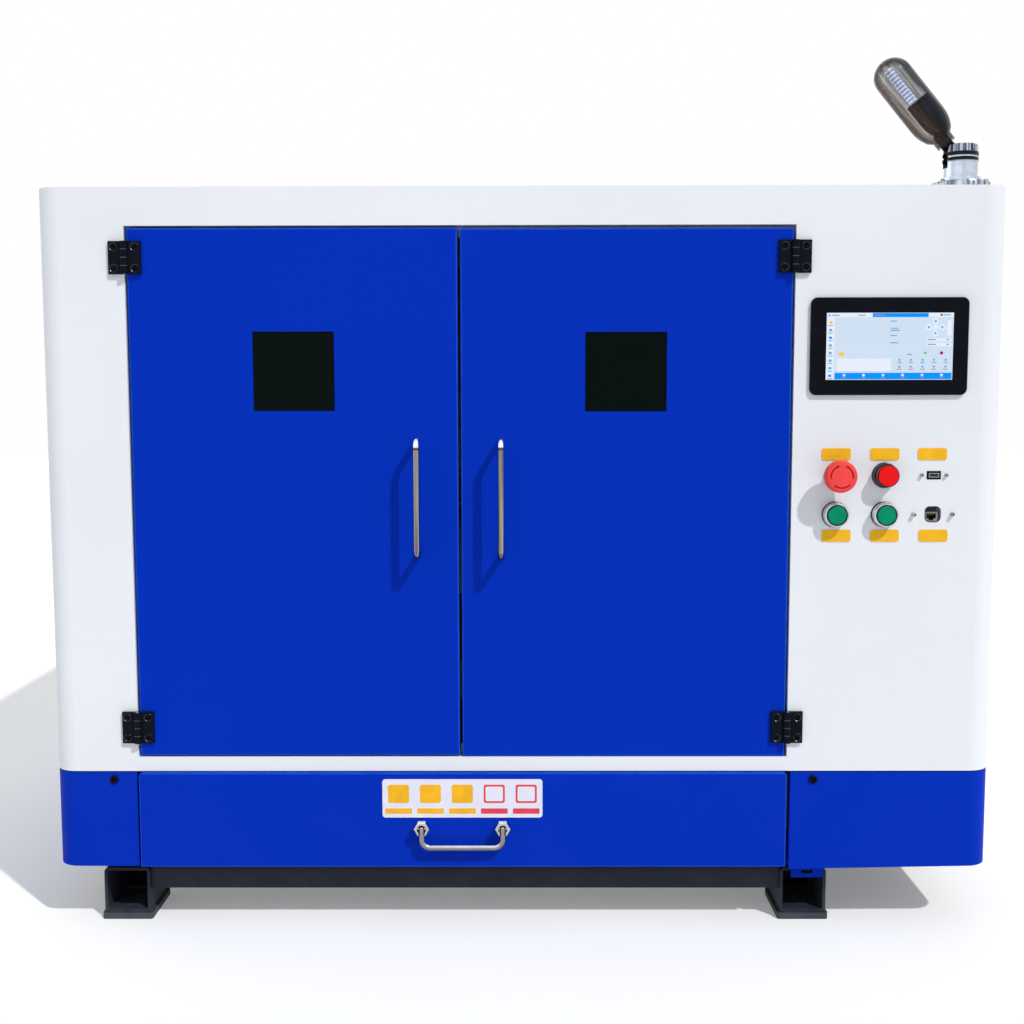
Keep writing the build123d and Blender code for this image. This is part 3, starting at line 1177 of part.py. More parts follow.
def lamp_holder():
    """Black lamp holder: pivot eye and pin, stem, and the bulb-shaped body to one side inside the lens."""
    s = LAMP_STEM_RADIUS
    stem = lamp_turned([(0, 0), (s, 0), (s, LAMP_BULB_FOOT + s), (0, LAMP_BULB_FOOT + s)])
    half = (LAMP_LENS_SHOULDER - LAMP_BULB_FOOT)
    outline = [(radius, 2 * LAMP_BULB_FOOT + half - z)
               for radius, z in dome(LAMP_BULB_RADIUS, half, 9, LAMP_BULB_FOOT)]
    outline = [(0, outline[-1][1])] + outline[-2::-1]
    outline += [(LAMP_BULB_RADIUS, LAMP_BULB_TOP - 1.2), (LAMP_BULB_RADIUS - 1.2, LAMP_BULB_TOP), (0, LAMP_BULB_TOP)]
    bulb = lamp_turned(outline, LAMP_BULB_OFFSET)
    eye = rod((LAMP_X, LAMP_Y - s, LAMP_PIVOT_Z), (LAMP_X, LAMP_Y + s, LAMP_PIVOT_Z), s)
    pin_half = LAMP_BASE_RADIUS - 3
    pin = rod((LAMP_X, LAMP_Y - pin_half, LAMP_PIVOT_Z), (LAMP_X, LAMP_Y + pin_half, LAMP_PIVOT_Z),
              LAMP_PIN_RADIUS)
    return stem + bulb + eye + pin


def lamp_reflector():
    """Ribbed light column inside the lens."""
    start = LAMP_BULB_TOP
    pitch = (LAMP_COLUMN_TOP - start) / LAMP_COLUMN_RIBS
    r = LAMP_COLUMN_RADIUS
    profile = [(0, start)]
    for k in range(LAMP_COLUMN_RIBS):
        z = start + k * pitch
        profile += [(r, z), (r, z + pitch * 0.6), (r - 0.8, z + pitch * 0.7), (r - 0.8, z + pitch)]
    profile.append((0, LAMP_COLUMN_TOP))
    return lamp_turned(profile)


def lamp_lens():
    """Clear lens with a domed end, drawn in like a bottle to its neck on the stem."""
    r = LAMP_RADIUS
    t = LAMP_LENS_WALL
    s = LAMP_STEM_RADIUS
    n = LAMP_LENS_NECK
    foot = LAMP_LENS_FOOT
    shoulder = LAMP_LENS_SHOULDER
    outer = [(s, foot), (n, foot), (n, foot + 10), (n + 5.3, foot + 15), (r - 2.5, foot + 24), (r - 0.6, foot + 32),
             (r, shoulder)]
    outer += dome(r, r, 12, LAMP_LENGTH - r)
    inner = dome(r - t, r - t, 12, LAMP_LENGTH - r)[::-1]
    inner += [(r - t, shoulder), (r - 0.6 - t, foot + 33), (r - 2.5 - t, foot + 25), (n + 3.3, foot + 16),
              (n - 1.7, foot + 10.5), (n - 1.7, foot + t), (s, foot + t)]
    return lamp_turned(outer + inner)


COLUMN_YS = (BEAM_Y0, 200.0, BEAM_Y1 - COLUMN)
SLAT_Y0 = BEAM_Y0 + 35.0
SLAT_BEAM_YS = (BEAM_Y0 + 10.0, COLUMN_YS[1] + 10.0)
BAR_XS = (RAIL_IN_LEFT + NOTCHED_BAR_INSET, RAIL_IN_RIGHT - NOTCHED_BAR_INSET - NOTCHED_BAR_THICKNESS)


def bed_frame():
    """Columns, side beams and cross tubes of the bed, and the two notched bars that hold the slats."""
    made = []
    for x in FOOT_XS:
        half = COLUMN / 2
        for y in COLUMN_YS:
            made.append(tube(x - half, x + half, y, y + COLUMN, RAIL_TOP, BEAM_BOTTOM, RAIL_WALL, "Z"))
        made.append(tube(x - half, x + half, BEAM_Y0, BEAM_Y1, BEAM_BOTTOM, BEAM_TOP, RAIL_WALL, "Y"))
    for y in SLAT_BEAM_YS:
        made.append(tube(RAIL_IN_LEFT, RAIL_IN_RIGHT, y, y + CROSS_TUBE, SLAT_BEAM_BOTTOM,
                         SLAT_BEAM_BOTTOM + CROSS_TUBE, TUBE_WALL, "X"))
    z0 = SLAT_BEAM_BOTTOM + CROSS_TUBE
    for x in BAR_XS:
        bar = span(x, x + NOTCHED_BAR_THICKNESS, SLAT_BEAM_YS[0], SLAT_BEAM_YS[1] + CROSS_TUBE, z0,
                   z0 + NOTCHED_BAR_HEIGHT)
        for k in range(SLAT_COUNT):
            y = SLAT_Y0 + k * SLAT_PITCH
            half = SLAT_THICKNESS / 2 + SLAT_SLOT_GAP
            bar -= span(x - 1, x + NOTCHED_BAR_THICKNESS + 1, y - half, y + half, SLAT_TOP - SLAT_HEIGHT,
                        z0 + NOTCHED_BAR_HEIGHT + 1)
        made.append(bar.solid())
    return group(made)


def bed_slats():
    """Toothed slats that carry the sheet being cut."""
    x0 = RAIL_IN_LEFT + 8
    x1 = RAIL_IN_RIGHT - 8
    teeth = int((x1 - x0) // SLAT_TOOTH_PITCH)
    pitch = (x1 - x0) / teeth
    base = SLAT_TOP - SLAT_HEIGHT
    outline = [(x0, base), (x1, base)]
    for k in range(teeth, 0, -1):
        right = x0 + k * pitch
        outline += [(right, SLAT_TOP - SLAT_TOOTH_DEPTH), (right - pitch / 2, SLAT_TOP)]
    outline.append((x0, SLAT_TOP - SLAT_TOOTH_DEPTH))
    face = make_face(Polyline(*outline, close=True))
    made = []
    for k in range(SLAT_COUNT):
        y = SLAT_Y0 + k * SLAT_PITCH + SLAT_THICKNESS / 2
        plane = Plane(origin=(0, y, 0), x_dir=(1, 0, 0), z_dir=(0, -1, 0))
        made.append(extrude(plane * face, SLAT_THICKNESS).solid())
    return group(made)


def rail_profile(width):
    """Section of a linear rail with waisted sides, its base on the X axis."""
    h = width / 2
    return make_face(Polyline((-h, 0), (h, 0), (h, 4), (h - 2, 6.5), (h - 2, 9), (h, 11.5), (h, width),
                              (-h, width), (-h, 11.5), (-h + 2, 9), (-h + 2, 6.5), (-h, 4), close=True))


def y_rails():
    """Linear rails on top of the side beams."""
    made = []
    for x in FOOT_XS:
        plane = Plane(origin=(x, BEAM_Y0 + 5, BEAM_TOP), x_dir=(-1, 0, 0), z_dir=(0, 1, 0))
        made.append(extrude(plane * rail_profile(LINEAR_RAIL), BEAM_Y1 - BEAM_Y0 - 10).solid())
    return group(made)


def rail_block(width, height, length):
    """Runner block that rides a rail: local X across, Y off the rail's base, Z along."""
    block = Pos(0, (4.3 + height) / 2, 0) * Box(width, height - 4.3, length)
    groove = Box(LINEAR_RAIL + 2 * RAIL_BLOCK_GAP, 2 * (LINEAR_RAIL + RAIL_BLOCK_GAP), length + 2)
    return block - groove


Y_SCREW_Y0 = BEAM_Y0 + 8
Y_SCREW_Y1 = BEAM_Y1 + 14
MOTOR_PLATE = 8.0


def y_motors():
    """Bearing blocks, motor plates and motors of the two long screws."""
    made = []
    for side, x, face in ((1, SCREW_XS[0], RAIL_IN_LEFT), (-1, SCREW_XS[1], RAIL_IN_RIGHT)):
        a, b = sorted((face, x + side * 16))
        for y in (BEAM_Y0 + 10, BEAM_Y1 - BEARING_LENGTH):
            block = span(a, b, y, y + BEARING_LENGTH, SCREW_Z - 18, SCREW_Z + 18)
            block -= rod((x, y - 1, SCREW_Z), (x, y + BEARING_LENGTH + 1, SCREW_Z),
                         SCREW_JOURNAL_RADIUS + HINGE_RUNNING_GAP)
            made.append(block.solid())
        c, d = sorted((face - side * 34, x + side * MOTOR / 2))
        plate = span(c, d, BEAM_Y1, BEAM_Y1 + MOTOR_PLATE, SCREW_Z - MOTOR / 2, SCREW_Z + MOTOR / 2)
        motor = span(x - MOTOR / 2, x + MOTOR / 2, BEAM_Y1 + MOTOR_PLATE, BEAM_Y1 + MOTOR_PLATE + MOTOR_LENGTH,
                     SCREW_Z - MOTOR / 2, SCREW_Z + MOTOR / 2)
        motor = chamfer(motor.edges().filter_by(Axis.Y), 4.0)
        bore = rod((x, BEAM_Y1 - 1, SCREW_Z), (x, Y_SCREW_Y1 + 1, SCREW_Z),
                   SCREW_JOURNAL_RADIUS + HINGE_RUNNING_GAP)
        made.append((plate - bore).solid())
        made.append((motor - bore).solid())
    return group(made)


def y_screw(k):
    """Long ball screw with a journal at each end."""
    x = SCREW_XS[k]
    y0 = BEAM_Y0 + 10 + BEARING_LENGTH + 1
    y1 = BEAM_Y1 - BEARING_LENGTH - 1
    screw = rod((x, Y_SCREW_Y0, SCREW_Z), (x, Y_SCREW_Y1, SCREW_Z), SCREW_JOURNAL_RADIUS)
    return screw + rod((x, y0, SCREW_Z), (x, y1, SCREW_Z), SCREW_RADIUS)


GANTRY_X0 = FOOT_XS[0] - RAIL_BLOCK_WIDTH / 2 - 6
GANTRY_X1 = FOOT_XS[1] + RAIL_BLOCK_WIDTH / 2 + 6


def gantry_beam():
    """Cross beam of square tube with its base plates, runner blocks and nut brackets."""
    y = GANTRY_REST_Y
    half = GANTRY_BASE_LENGTH / 2
    beam = tube(GANTRY_X0, GANTRY_X1, GANTRY_FRONT, GANTRY_FRONT + GANTRY_BEAM_DEPTH, GANTRY_Z0, GANTRY_Z1,
                RAIL_WALL, "X")
    made = [beam]
    for side, x, screw_x, end in ((1, FOOT_XS[0], SCREW_XS[0], GANTRY_X0), (-1, FOOT_XS[1], SCREW_XS[1], GANTRY_X1)):
        inner = screw_x + side * 15
        a, b = sorted((end, inner))
        made.append(span(a, b, y - half, y + half, BLOCK_TOP, GANTRY_Z0))
        for dy in (-half + RAIL_BLOCK_LENGTH / 2 + 4, half - RAIL_BLOCK_LENGTH / 2 - 4):
            plane = Plane(origin=(x, y + dy, BEAM_TOP), x_dir=(-1, 0, 0), z_dir=(0, 1, 0))
            made.append((plane * rail_block(RAIL_BLOCK_WIDTH, RAIL_BLOCK_HEIGHT, RAIL_BLOCK_LENGTH)).solid())
        c, d = sorted((screw_x - side * 15, inner))
        bracket = span(c, d, y - 20, y + 20, SCREW_Z - 15, BLOCK_TOP)
        bracket -= rod((screw_x, y - 21, SCREW_Z), (screw_x, y + 21, SCREW_Z), SCREW_RADIUS + NUT_GAP)
        made.append(bracket.solid())
    return group(made)


X_SCREW_Y = GANTRY_FRONT - X_SCREW_OFFSET
X_MOTOR_X0 = GANTRY_X0 + 10
X_BEARING_X0 = X_MOTOR_X0 + X_MOTOR_LENGTH
X_RAIL_X0 = X_BEARING_X0 + BEARING_LENGTH
X_RAIL_X1 = RAIL_IN_RIGHT + 10
X_RAIL_ZS = (GANTRY_MID_Z - X_RAIL_SPREAD / 2, GANTRY_MID_Z + X_RAIL_SPREAD / 2)


def gantry_drive():
    """Cross rails, bearing blocks and motor on the front of the beam."""
    made = []
    for z in X_RAIL_ZS:
        plane = Plane(origin=(X_RAIL_X0, GANTRY_FRONT, z), x_dir=(0, 0, 1), z_dir=(1, 0, 0))
        made.append(extrude(plane * rail_profile(LINEAR_RAIL), X_RAIL_X1 - X_RAIL_X0).solid())
    for x in (X_BEARING_X0, X_RAIL_X1):
        block = span(x, x + BEARING_LENGTH, X_SCREW_Y - 9, GANTRY_FRONT, GANTRY_MID_Z - 11, GANTRY_MID_Z + 11)
        block -= rod((x - 1, X_SCREW_Y, GANTRY_MID_Z), (x + BEARING_LENGTH + 1, X_SCREW_Y, GANTRY_MID_Z),
                     X_SCREW_RADIUS + HINGE_RUNNING_GAP)
        made.append(block.solid())
    half = X_MOTOR / 2
    motor = span(X_MOTOR_X0, X_BEARING_X0, X_SCREW_Y - half, X_SCREW_Y + half, GANTRY_MID_Z - half,
                 GANTRY_MID_Z + half)
    motor = chamfer(motor.edges().filter_by(Axis.X), 3.0)
    motor += span(X_BEARING_X0 - 8, X_BEARING_X0, X_SCREW_Y, GANTRY_FRONT, GANTRY_MID_Z - 12, GANTRY_MID_Z + 12)
    motor -= rod((X_BEARING_X0 - 12, X_SCREW_Y, GANTRY_MID_Z), (X_BEARING_X0 + 1, X_SCREW_Y, GANTRY_MID_Z),
                 X_SCREW_RADIUS + HINGE_RUNNING_GAP)
    made.append(motor.solid())
    return group(made)


def x_screw():
    """Cross ball screw."""
    return rod((X_BEARING_X0 - 10, X_SCREW_Y, GANTRY_MID_Z), (X_RAIL_X1 + BEARING_LENGTH - 2, X_SCREW_Y,
                                                              GANTRY_MID_Z), X_SCREW_RADIUS)


CARRIAGE_BACK = GANTRY_FRONT - CARRIAGE_STANDOFF
CARRIAGE_FRONT = CARRIAGE_BACK - CARRIAGE_THICKNESS
CARRIAGE_Z0 = GANTRY_Z0 - 10
CARRIAGE_Z1 = CARRIAGE_Z0 + CARRIAGE_HEIGHT
HEAD_BACK = CARRIAGE_FRONT - RAIL_BLOCK_HEIGHT
HEAD_PLATE = 8.0
HEAD_Y = HEAD_BACK - HEAD_PLATE - HEAD_DEPTH / 2
NOZZLE_TIP = SLAT_TOP + HEAD_CLEARANCE + HEAD_TRAVEL
HEAD_BODY_Z0 = NOZZLE_TIP + 62.0


def carriage():
    """Carriage plate with runner blocks, screw nut, upright rail and the lift motor."""
    x = CARRIAGE_REST_X
    half = CARRIAGE_WIDTH / 2
    made = [span(x - half, x + half, CARRIAGE_FRONT, CARRIAGE_BACK, CARRIAGE_Z0, CARRIAGE_Z1)]
    for z in X_RAIL_ZS:
        for dx in (-half + RAIL_BLOCK_LENGTH / 2 + 3, half - RAIL_BLOCK_LENGTH / 2 - 3):
            plane = Plane(origin=(x + dx, GANTRY_FRONT, z), x_dir=(0, 0, 1), z_dir=(1, 0, 0))
            width = RAIL_BLOCK_WIDTH - 4
            made.append((plane * rail_block(width, CARRIAGE_STANDOFF, RAIL_BLOCK_LENGTH)).solid())
    nut = span(x - 18, x + 18, CARRIAGE_BACK, X_SCREW_Y + 12, GANTRY_MID_Z - 13, GANTRY_MID_Z + 13)
    nut -= rod((x - 19, X_SCREW_Y, GANTRY_MID_Z), (x + 19, X_SCREW_Y, GANTRY_MID_Z), X_SCREW_RADIUS + NUT_GAP)
    made.append(nut.solid())
    upright_rail = extrude(Plane(origin=(x, CARRIAGE_FRONT, CARRIAGE_Z0), x_dir=(-1, 0, 0), z_dir=(0, 0, 1))
                           * rail_profile(LINEAR_RAIL), CARRIAGE_HEIGHT)
    made.append(upright_rail.solid())
    motor_y = (CARRIAGE_FRONT + CARRIAGE_BACK) / 2
    motor = span(x - X_MOTOR / 2, x + X_MOTOR / 2, motor_y - X_MOTOR / 2, motor_y + X_MOTOR / 2,
                 CARRIAGE_Z1, CARRIAGE_Z1 + X_MOTOR_LENGTH)
    made.append(chamfer(motor.edges().filter_by(Axis.Z), 3.0).solid())
    return group(made)


def cutting_head():
    """Cutting head: runner block, back plate, rounded body, collimator and ceramic nozzle cone."""
    x = CARRIAGE_REST_X
    z0 = HEAD_BODY_Z0
    z1 = z0 + HEAD_HEIGHT_BODY
    plate_y = HEAD_BACK - HEAD_PLATE
    block_z = z0 + 60
    plane = Plane(origin=(x, CARRIAGE_FRONT, block_z), x_dir=(-1, 0, 0), z_dir=(0, 0, 1))
    block = plane * rail_block(RAIL_BLOCK_WIDTH, RAIL_BLOCK_HEIGHT, RAIL_BLOCK_LENGTH)
    plate = span(x - 25, x + 25, plate_y, HEAD_BACK, z0, z1 - 40)
    half = HEAD_WIDTH / 2
    body = span(x - half, x + half, plate_y - HEAD_DEPTH, plate_y, z0, z1)
    body = fillet(body.edges().filter_by(Axis.Z).group_by(Axis.Y)[0], 10.0)
    lower = [(0, NOZZLE_TIP), (2.2, NOZZLE_TIP), (6.0, NOZZLE_TIP + 9), (6.0, NOZZLE_TIP + 12),
             (13.0, NOZZLE_TIP + 16), (13.0, NOZZLE_TIP + 24), (18.0, NOZZLE_TIP + 26),
             (18.0, NOZZLE_TIP + 46), (22.0, NOZZLE_TIP + 48), (22.0, z0), (0, z0)]
    upper = [(0, z1), (20.0, z1), (20.0, z1 + 26), (14.0, z1 + 30), (14.0, z1 + 58), (9.0, z1 + 62), (0, z1 + 62)]
    head = block + plate + body
    return head + upright(x, HEAD_Y, lower) + upright(x, HEAD_Y, upper)


SOURCE_Z0 = RAIL_TOP + FLOOR_SHEET
SOURCE_WALL = 2.0
SOURCE_LENGTH = 500.0
SOURCE_HEIGHT = 150.0
SOURCE_REAR_GAP = 120.0
SOURCE_GRIP = 80.0
SOURCE_GRIP_REACH = 30.0


def laser_source():
    """Fibre laser source on the cabinet floor: a hollow case with two front grips."""
    x0 = RAIL_OUT_RIGHT + 14
    x1 = INNER_RIGHT - 20
    y1 = REAR - SOURCE_REAR_GAP
    y0 = y1 - SOURCE_LENGTH
    z1 = SOURCE_Z0 + SOURCE_HEIGHT
    case = span(x0, x1, y0, y1, SOURCE_Z0, z1)
    case -= span(x0 + SOURCE_WALL, x1 - SOURCE_WALL, y0 + SOURCE_WALL, y1 + 1, SOURCE_Z0 + SOURCE_WALL,
                 z1 - SOURCE_WALL)
    made = [case]
    low = SOURCE_Z0 + (SOURCE_HEIGHT - SOURCE_GRIP) / 2
    high = low + SOURCE_GRIP
    for x in (x0 + 16, x1 - 16):
        out = y0 - SOURCE_GRIP_REACH
        points = [(x, y0, low), (x, out, low), (x, out, high), (x, y0, high)]
        made.append(bent_handle(points, 8.0, 4.0).solid())
    return group(made)


PLATE_FRONT_GAP = 120.0
PLATE_REAR_GAP = 100.0
PLATE_ABOVE_BEAM = 20.0
PLATE_BELOW_ROOF = 75.0
PLATE_THICKNESS = 3.0
DEVICE_ROW = 0.5
DRIVE_COUNT = 4
DRIVE_PITCH = 75.0
DRIVE_SIZE = (55.0, 120.0, 170.0)
DEVICE_GAP = 30.0


def control_plate():
    """Mounting plate on the cabinet wall: four drives, a supply and a controller over two rows of small devices."""
    x0 = RAIL_OUT_RIGHT + SHEET
    face = x0 + PLATE_THICKNESS
    y0 = FRONT + PLATE_FRONT_GAP
    y1 = REAR - PLATE_REAR_GAP
    z0 = BEAM_TOP + PLATE_ABOVE_BEAM
    z1 = ROOF_UNDER - PLATE_BELOW_ROOF
    row = z0 + (z1 - z0) * DEVICE_ROW
    made = [span(x0, face, y0, y1, z0, z1)]
    y = y0 + DEVICE_GAP
    length, depth, height = DRIVE_SIZE
    for k in range(DRIVE_COUNT):
        made.append(span(face, face + depth, y, y + length, row, row + height))
        y += DRIVE_PITCH
    for length, depth, height in ((200.0, 60.0, 160.0), (160.0, 50.0, 120.0)):
        y += DEVICE_GAP
        made.append(span(face, face + depth, y, y + length, row, row + height))
        y += length
    y = y0 + DEVICE_GAP
    for length, depth, height in ((200.0, 75.0, 140.0), (480.0, 55.0, 60.0)):
        made.append(span(face, face + depth, y, y + length, z0 + DEVICE_GAP, z0 + DEVICE_GAP + height))
        y += length + DEVICE_GAP
    return group(made)


NODES = {
    "feet": feet,
    "base_frame": base_frame,
    "upper_frame": upper_frame,
    "front_fascia": front_fascia,
    "side_panel_left": lambda: side_panel(True),
    "side_panel_right": lambda: side_panel(False),
    "top_panel": top_panel,
    "rear_panel": rear_panel,
    "skirt_left": skirt_left,
    "skirt_right": skirt_right,
    "skirt_rear": skirt_rear,
    "cabinet_tray": cabinet_tray,
    "body_screws": body_screws,
    "hinge_leaves": hinge_leaves,
    "hinge_pins": hinge_pins,
    "display_housing": display_housing,
    "display_screen": display_screen,
    "stop_collar": stop_collar,
    "stop_stem": stop_stem,
    "stop_head": stop_head,
    "control_bezels": control_bezels,
    "pilot_lens": pilot_lens,
    "button_cap_left": lambda: button_cap(0),
    "button_cap_right": lambda: button_cap(1),
    "usb_socket": usb_socket,
    "network_socket": network_socket,
    "label_plates": label_plates,
    "lamp_base": lamp_base,
    "lamp_holder": lamp_holder,
    "lamp_reflector": lamp_reflector,
    "lamp_lens": lamp_lens,
    "exhaust_collar": exhaust_collar,
    "rear_fittings": rear_fittings,
    "bed_frame": bed_frame,
    "bed_slats": bed_slats,
    "y_rails": y_rails,
    "y_motors": y_motors,
    "y_screw_left": lambda: y_screw(0),
    "y_screw_right": lambda: y_screw(1),
    "gantry_beam": gantry_beam,
    "gantry_drive": gantry_drive,
    "x_screw": x_screw,
    "carriage": carriage,
    "cutting_head": cutting_head,
    "laser_source": laser_source,
    "control_plate": control_plate,
    "drawer_slides": drawer_slides,
    "drawer_front": drawer_front,
    "drawer_tray": drawer_tray,
    "drawer_plaque": drawer_plaque,
    "bail_bosses": bail_bosses,
    "drawer_bail": drawer_bail,
    "door_left_panel": lambda: door_panel(True),
    "door_left_window": lambda: door_window(True),
    "door_left_handle": lambda: door_handle(True),
    "door_left_fixings": lambda: group(as_solids(door_hinge_leaves(True)) + as_solids(door_screws(True))),
    "door_right_panel": lambda: door_panel(False),
    "door_right_window": lambda: door_window(False),
    "door_right_handle": lambda: door_handle(False),
    "door_right_fixings": lambda: group(as_solids(door_hinge_leaves(False)) + as_solids(door_screws(False))),
}


def main():
    os.makedirs("parts", exist_ok=True)
    for node, make in NODES.items():
        export_step(make(), f"parts/{node}.step")
    print(len(NODES), "nodes")


main()
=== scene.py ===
import json
import math
import random

import bpy
import bmesh
from mathutils import Matrix, Vector


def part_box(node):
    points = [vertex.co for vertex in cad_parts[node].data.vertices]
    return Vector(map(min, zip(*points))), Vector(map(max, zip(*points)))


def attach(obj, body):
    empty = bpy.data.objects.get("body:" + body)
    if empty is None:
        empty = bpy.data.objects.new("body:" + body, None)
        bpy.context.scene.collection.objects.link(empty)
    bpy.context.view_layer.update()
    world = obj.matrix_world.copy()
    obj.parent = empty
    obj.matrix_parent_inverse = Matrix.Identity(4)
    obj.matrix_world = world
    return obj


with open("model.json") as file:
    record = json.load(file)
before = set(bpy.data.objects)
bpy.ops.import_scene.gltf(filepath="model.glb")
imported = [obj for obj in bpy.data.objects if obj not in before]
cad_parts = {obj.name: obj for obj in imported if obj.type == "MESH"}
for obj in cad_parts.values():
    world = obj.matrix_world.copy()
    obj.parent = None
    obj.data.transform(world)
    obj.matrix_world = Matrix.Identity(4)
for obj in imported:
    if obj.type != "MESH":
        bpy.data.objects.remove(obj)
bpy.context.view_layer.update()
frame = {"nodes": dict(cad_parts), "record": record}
nodes = frame["nodes"]
random.seed(7)
MM = 0.001

# Camera, solved from the straight edges of the body
CAMERA_PLACE = (-0.00505, -2.0575, 0.6807)
CAMERA_TURN_DEGREES = (5.285, -0.262, -0.102)
CAMERA_LENS = 43.945
SENSOR_WIDTH = 36.0

# Light: the world as plain surfaces see it, and the floor
WORLD_LIGHT = 0.40
WORLD_COLOR = (0.94, 0.97, 1.0, 1)
FLOOR_GLOW = 0.22
FLOOR_SIZE = 14.0
FLOOR_DROP = 0.0004

# Paint colours, linear
WHITE = (0.82, 0.845, 0.90)
BLUE = (0.0002, 0.029, 0.475)
# Painted highlight along the edges of the doors and the drawer front
EDGE_HIGHLIGHT_BLUE = (0.012, 0.105, 0.62)

# Places on the part, in millimetres; the lamp pivot and the pitch of its rows are in metres
FRONT = -500.0
PILOT_PLACE = (452.2, 582.0)
STOP_PLACE = (390.9, 582.0)
BUTTON_PLACES = ((390.9, 533.0), (452.2, 533.0))
SOCKET_X = 513.5
STOP_FACE = FRONT - 32.75
LAMP_PIVOT = (0.5555, 0.975)
LAMP_TILT = math.radians(40.0)
LAMP_ROW_PITCH = 0.00482
FOOT_TUBE = 60.0
FOOT_LENGTH = 80.0
FOOT_MARGIN = 3.0
FOOT_MIDDLE_Z = 38.0


def make_camera():
    """Camera at the photograph's viewing angle."""
    pitch, yaw, roll = (math.radians(a) for a in CAMERA_TURN_DEGREES)
    ahead = Vector((math.sin(yaw) * math.cos(pitch), math.cos(yaw) * math.cos(pitch), -math.sin(pitch)))
    right = Vector((math.cos(yaw), -math.sin(yaw), 0.0))
    up = right.cross(ahead)
    across = math.cos(roll) * right + math.sin(roll) * up
    upward = -math.sin(roll) * right + math.cos(roll) * up
    data = bpy.data.cameras.new("camera")
    data.lens = CAMERA_LENS
    data.sensor_width = SENSOR_WIDTH
    data.clip_start = 0.01
    camera = bpy.data.objects.new("camera", data)
    turn = Matrix((across, upward, -ahead)).transposed()
    camera.matrix_world = Matrix.Translation(CAMERA_PLACE) @ turn.to_4x4()
    bpy.context.scene.collection.objects.link(camera)
    bpy.context.scene.camera = camera


def make_world():
    """White for the camera, gloss and glass; a plain soft level of light for the rest."""
    world = bpy.data.worlds.new("world")
    world.use_nodes = True
    bpy.context.scene.world = world
    tree = world.node_tree
    tree.nodes.clear()
    out = tree.nodes.new("ShaderNodeOutputWorld")
    mix = tree.nodes.new("ShaderNodeMixShader")
    seen = tree.nodes.new("ShaderNodeBackground")
    seen.inputs["Color"].default_value = (1, 1, 1, 1)
    seen.inputs["Strength"].default_value = 1.0
    light = tree.nodes.new("ShaderNodeBackground")
    light.inputs["Color"].default_value = WORLD_COLOR
    light.inputs["Strength"].default_value = WORLD_LIGHT
    path = tree.nodes.new("ShaderNodeLightPath")
    shown = path.outputs["Is Camera Ray"]
    for ray in ("Is Glossy Ray", "Is Transmission Ray"):
        either = tree.nodes.new("ShaderNodeMath")
        either.operation = "MAXIMUM"
        tree.links.new(shown, either.inputs[0])
        tree.links.new(path.outputs[ray], either.inputs[1])
        shown = either.outputs[0]
    tree.links.new(shown, mix.inputs["Fac"])
    tree.links.new(light.outputs[0], mix.inputs[1])
    tree.links.new(seen.outputs[0], mix.inputs[2])
    tree.links.new(mix.outputs[0], out.inputs["Surface"])


def add_lamp(name, kind, place, target, energy, size, color=(1, 1, 1)):
    """A lamp aimed at a target; size is metres for an area lamp and degrees for the sun."""
    data = bpy.data.lights.new(name, kind)
    data.energy = energy
    data.color = color
    if kind == "AREA":
        data.shape = "SQUARE"
        data.size = size
    else:
        data.angle = math.radians(size)
    lamp = bpy.data.objects.new(name, data)
    aim = Vector(target) - Vector(place)
    lamp.matrix_world = Matrix.Translation(place) @ aim.to_track_quat("-Z", "Y").to_matrix().to_4x4()
    bpy.context.scene.collection.objects.link(lamp)


def make_lights():
    """One soft sun from the upper right and three weak fills."""
    add_lamp("key", "SUN", (1.81, -2.04, 2.92), (0, 0, 0), 2.2, 1.6, (1.0, 0.985, 0.96))
    add_lamp("front_fill", "AREA", (-1.2, -3.2, 1.6), (0, -0.5, 0.5), 5, 2.6)
    add_lamp("left_fill", "AREA", (-3.4, 0.4, 1.6), (0, 0, 0.5), 12, 2.6)
    add_lamp("back_fill", "AREA", (0.8, 3.6, 1.7), (0, 0, 0.5), 34, 2.8)


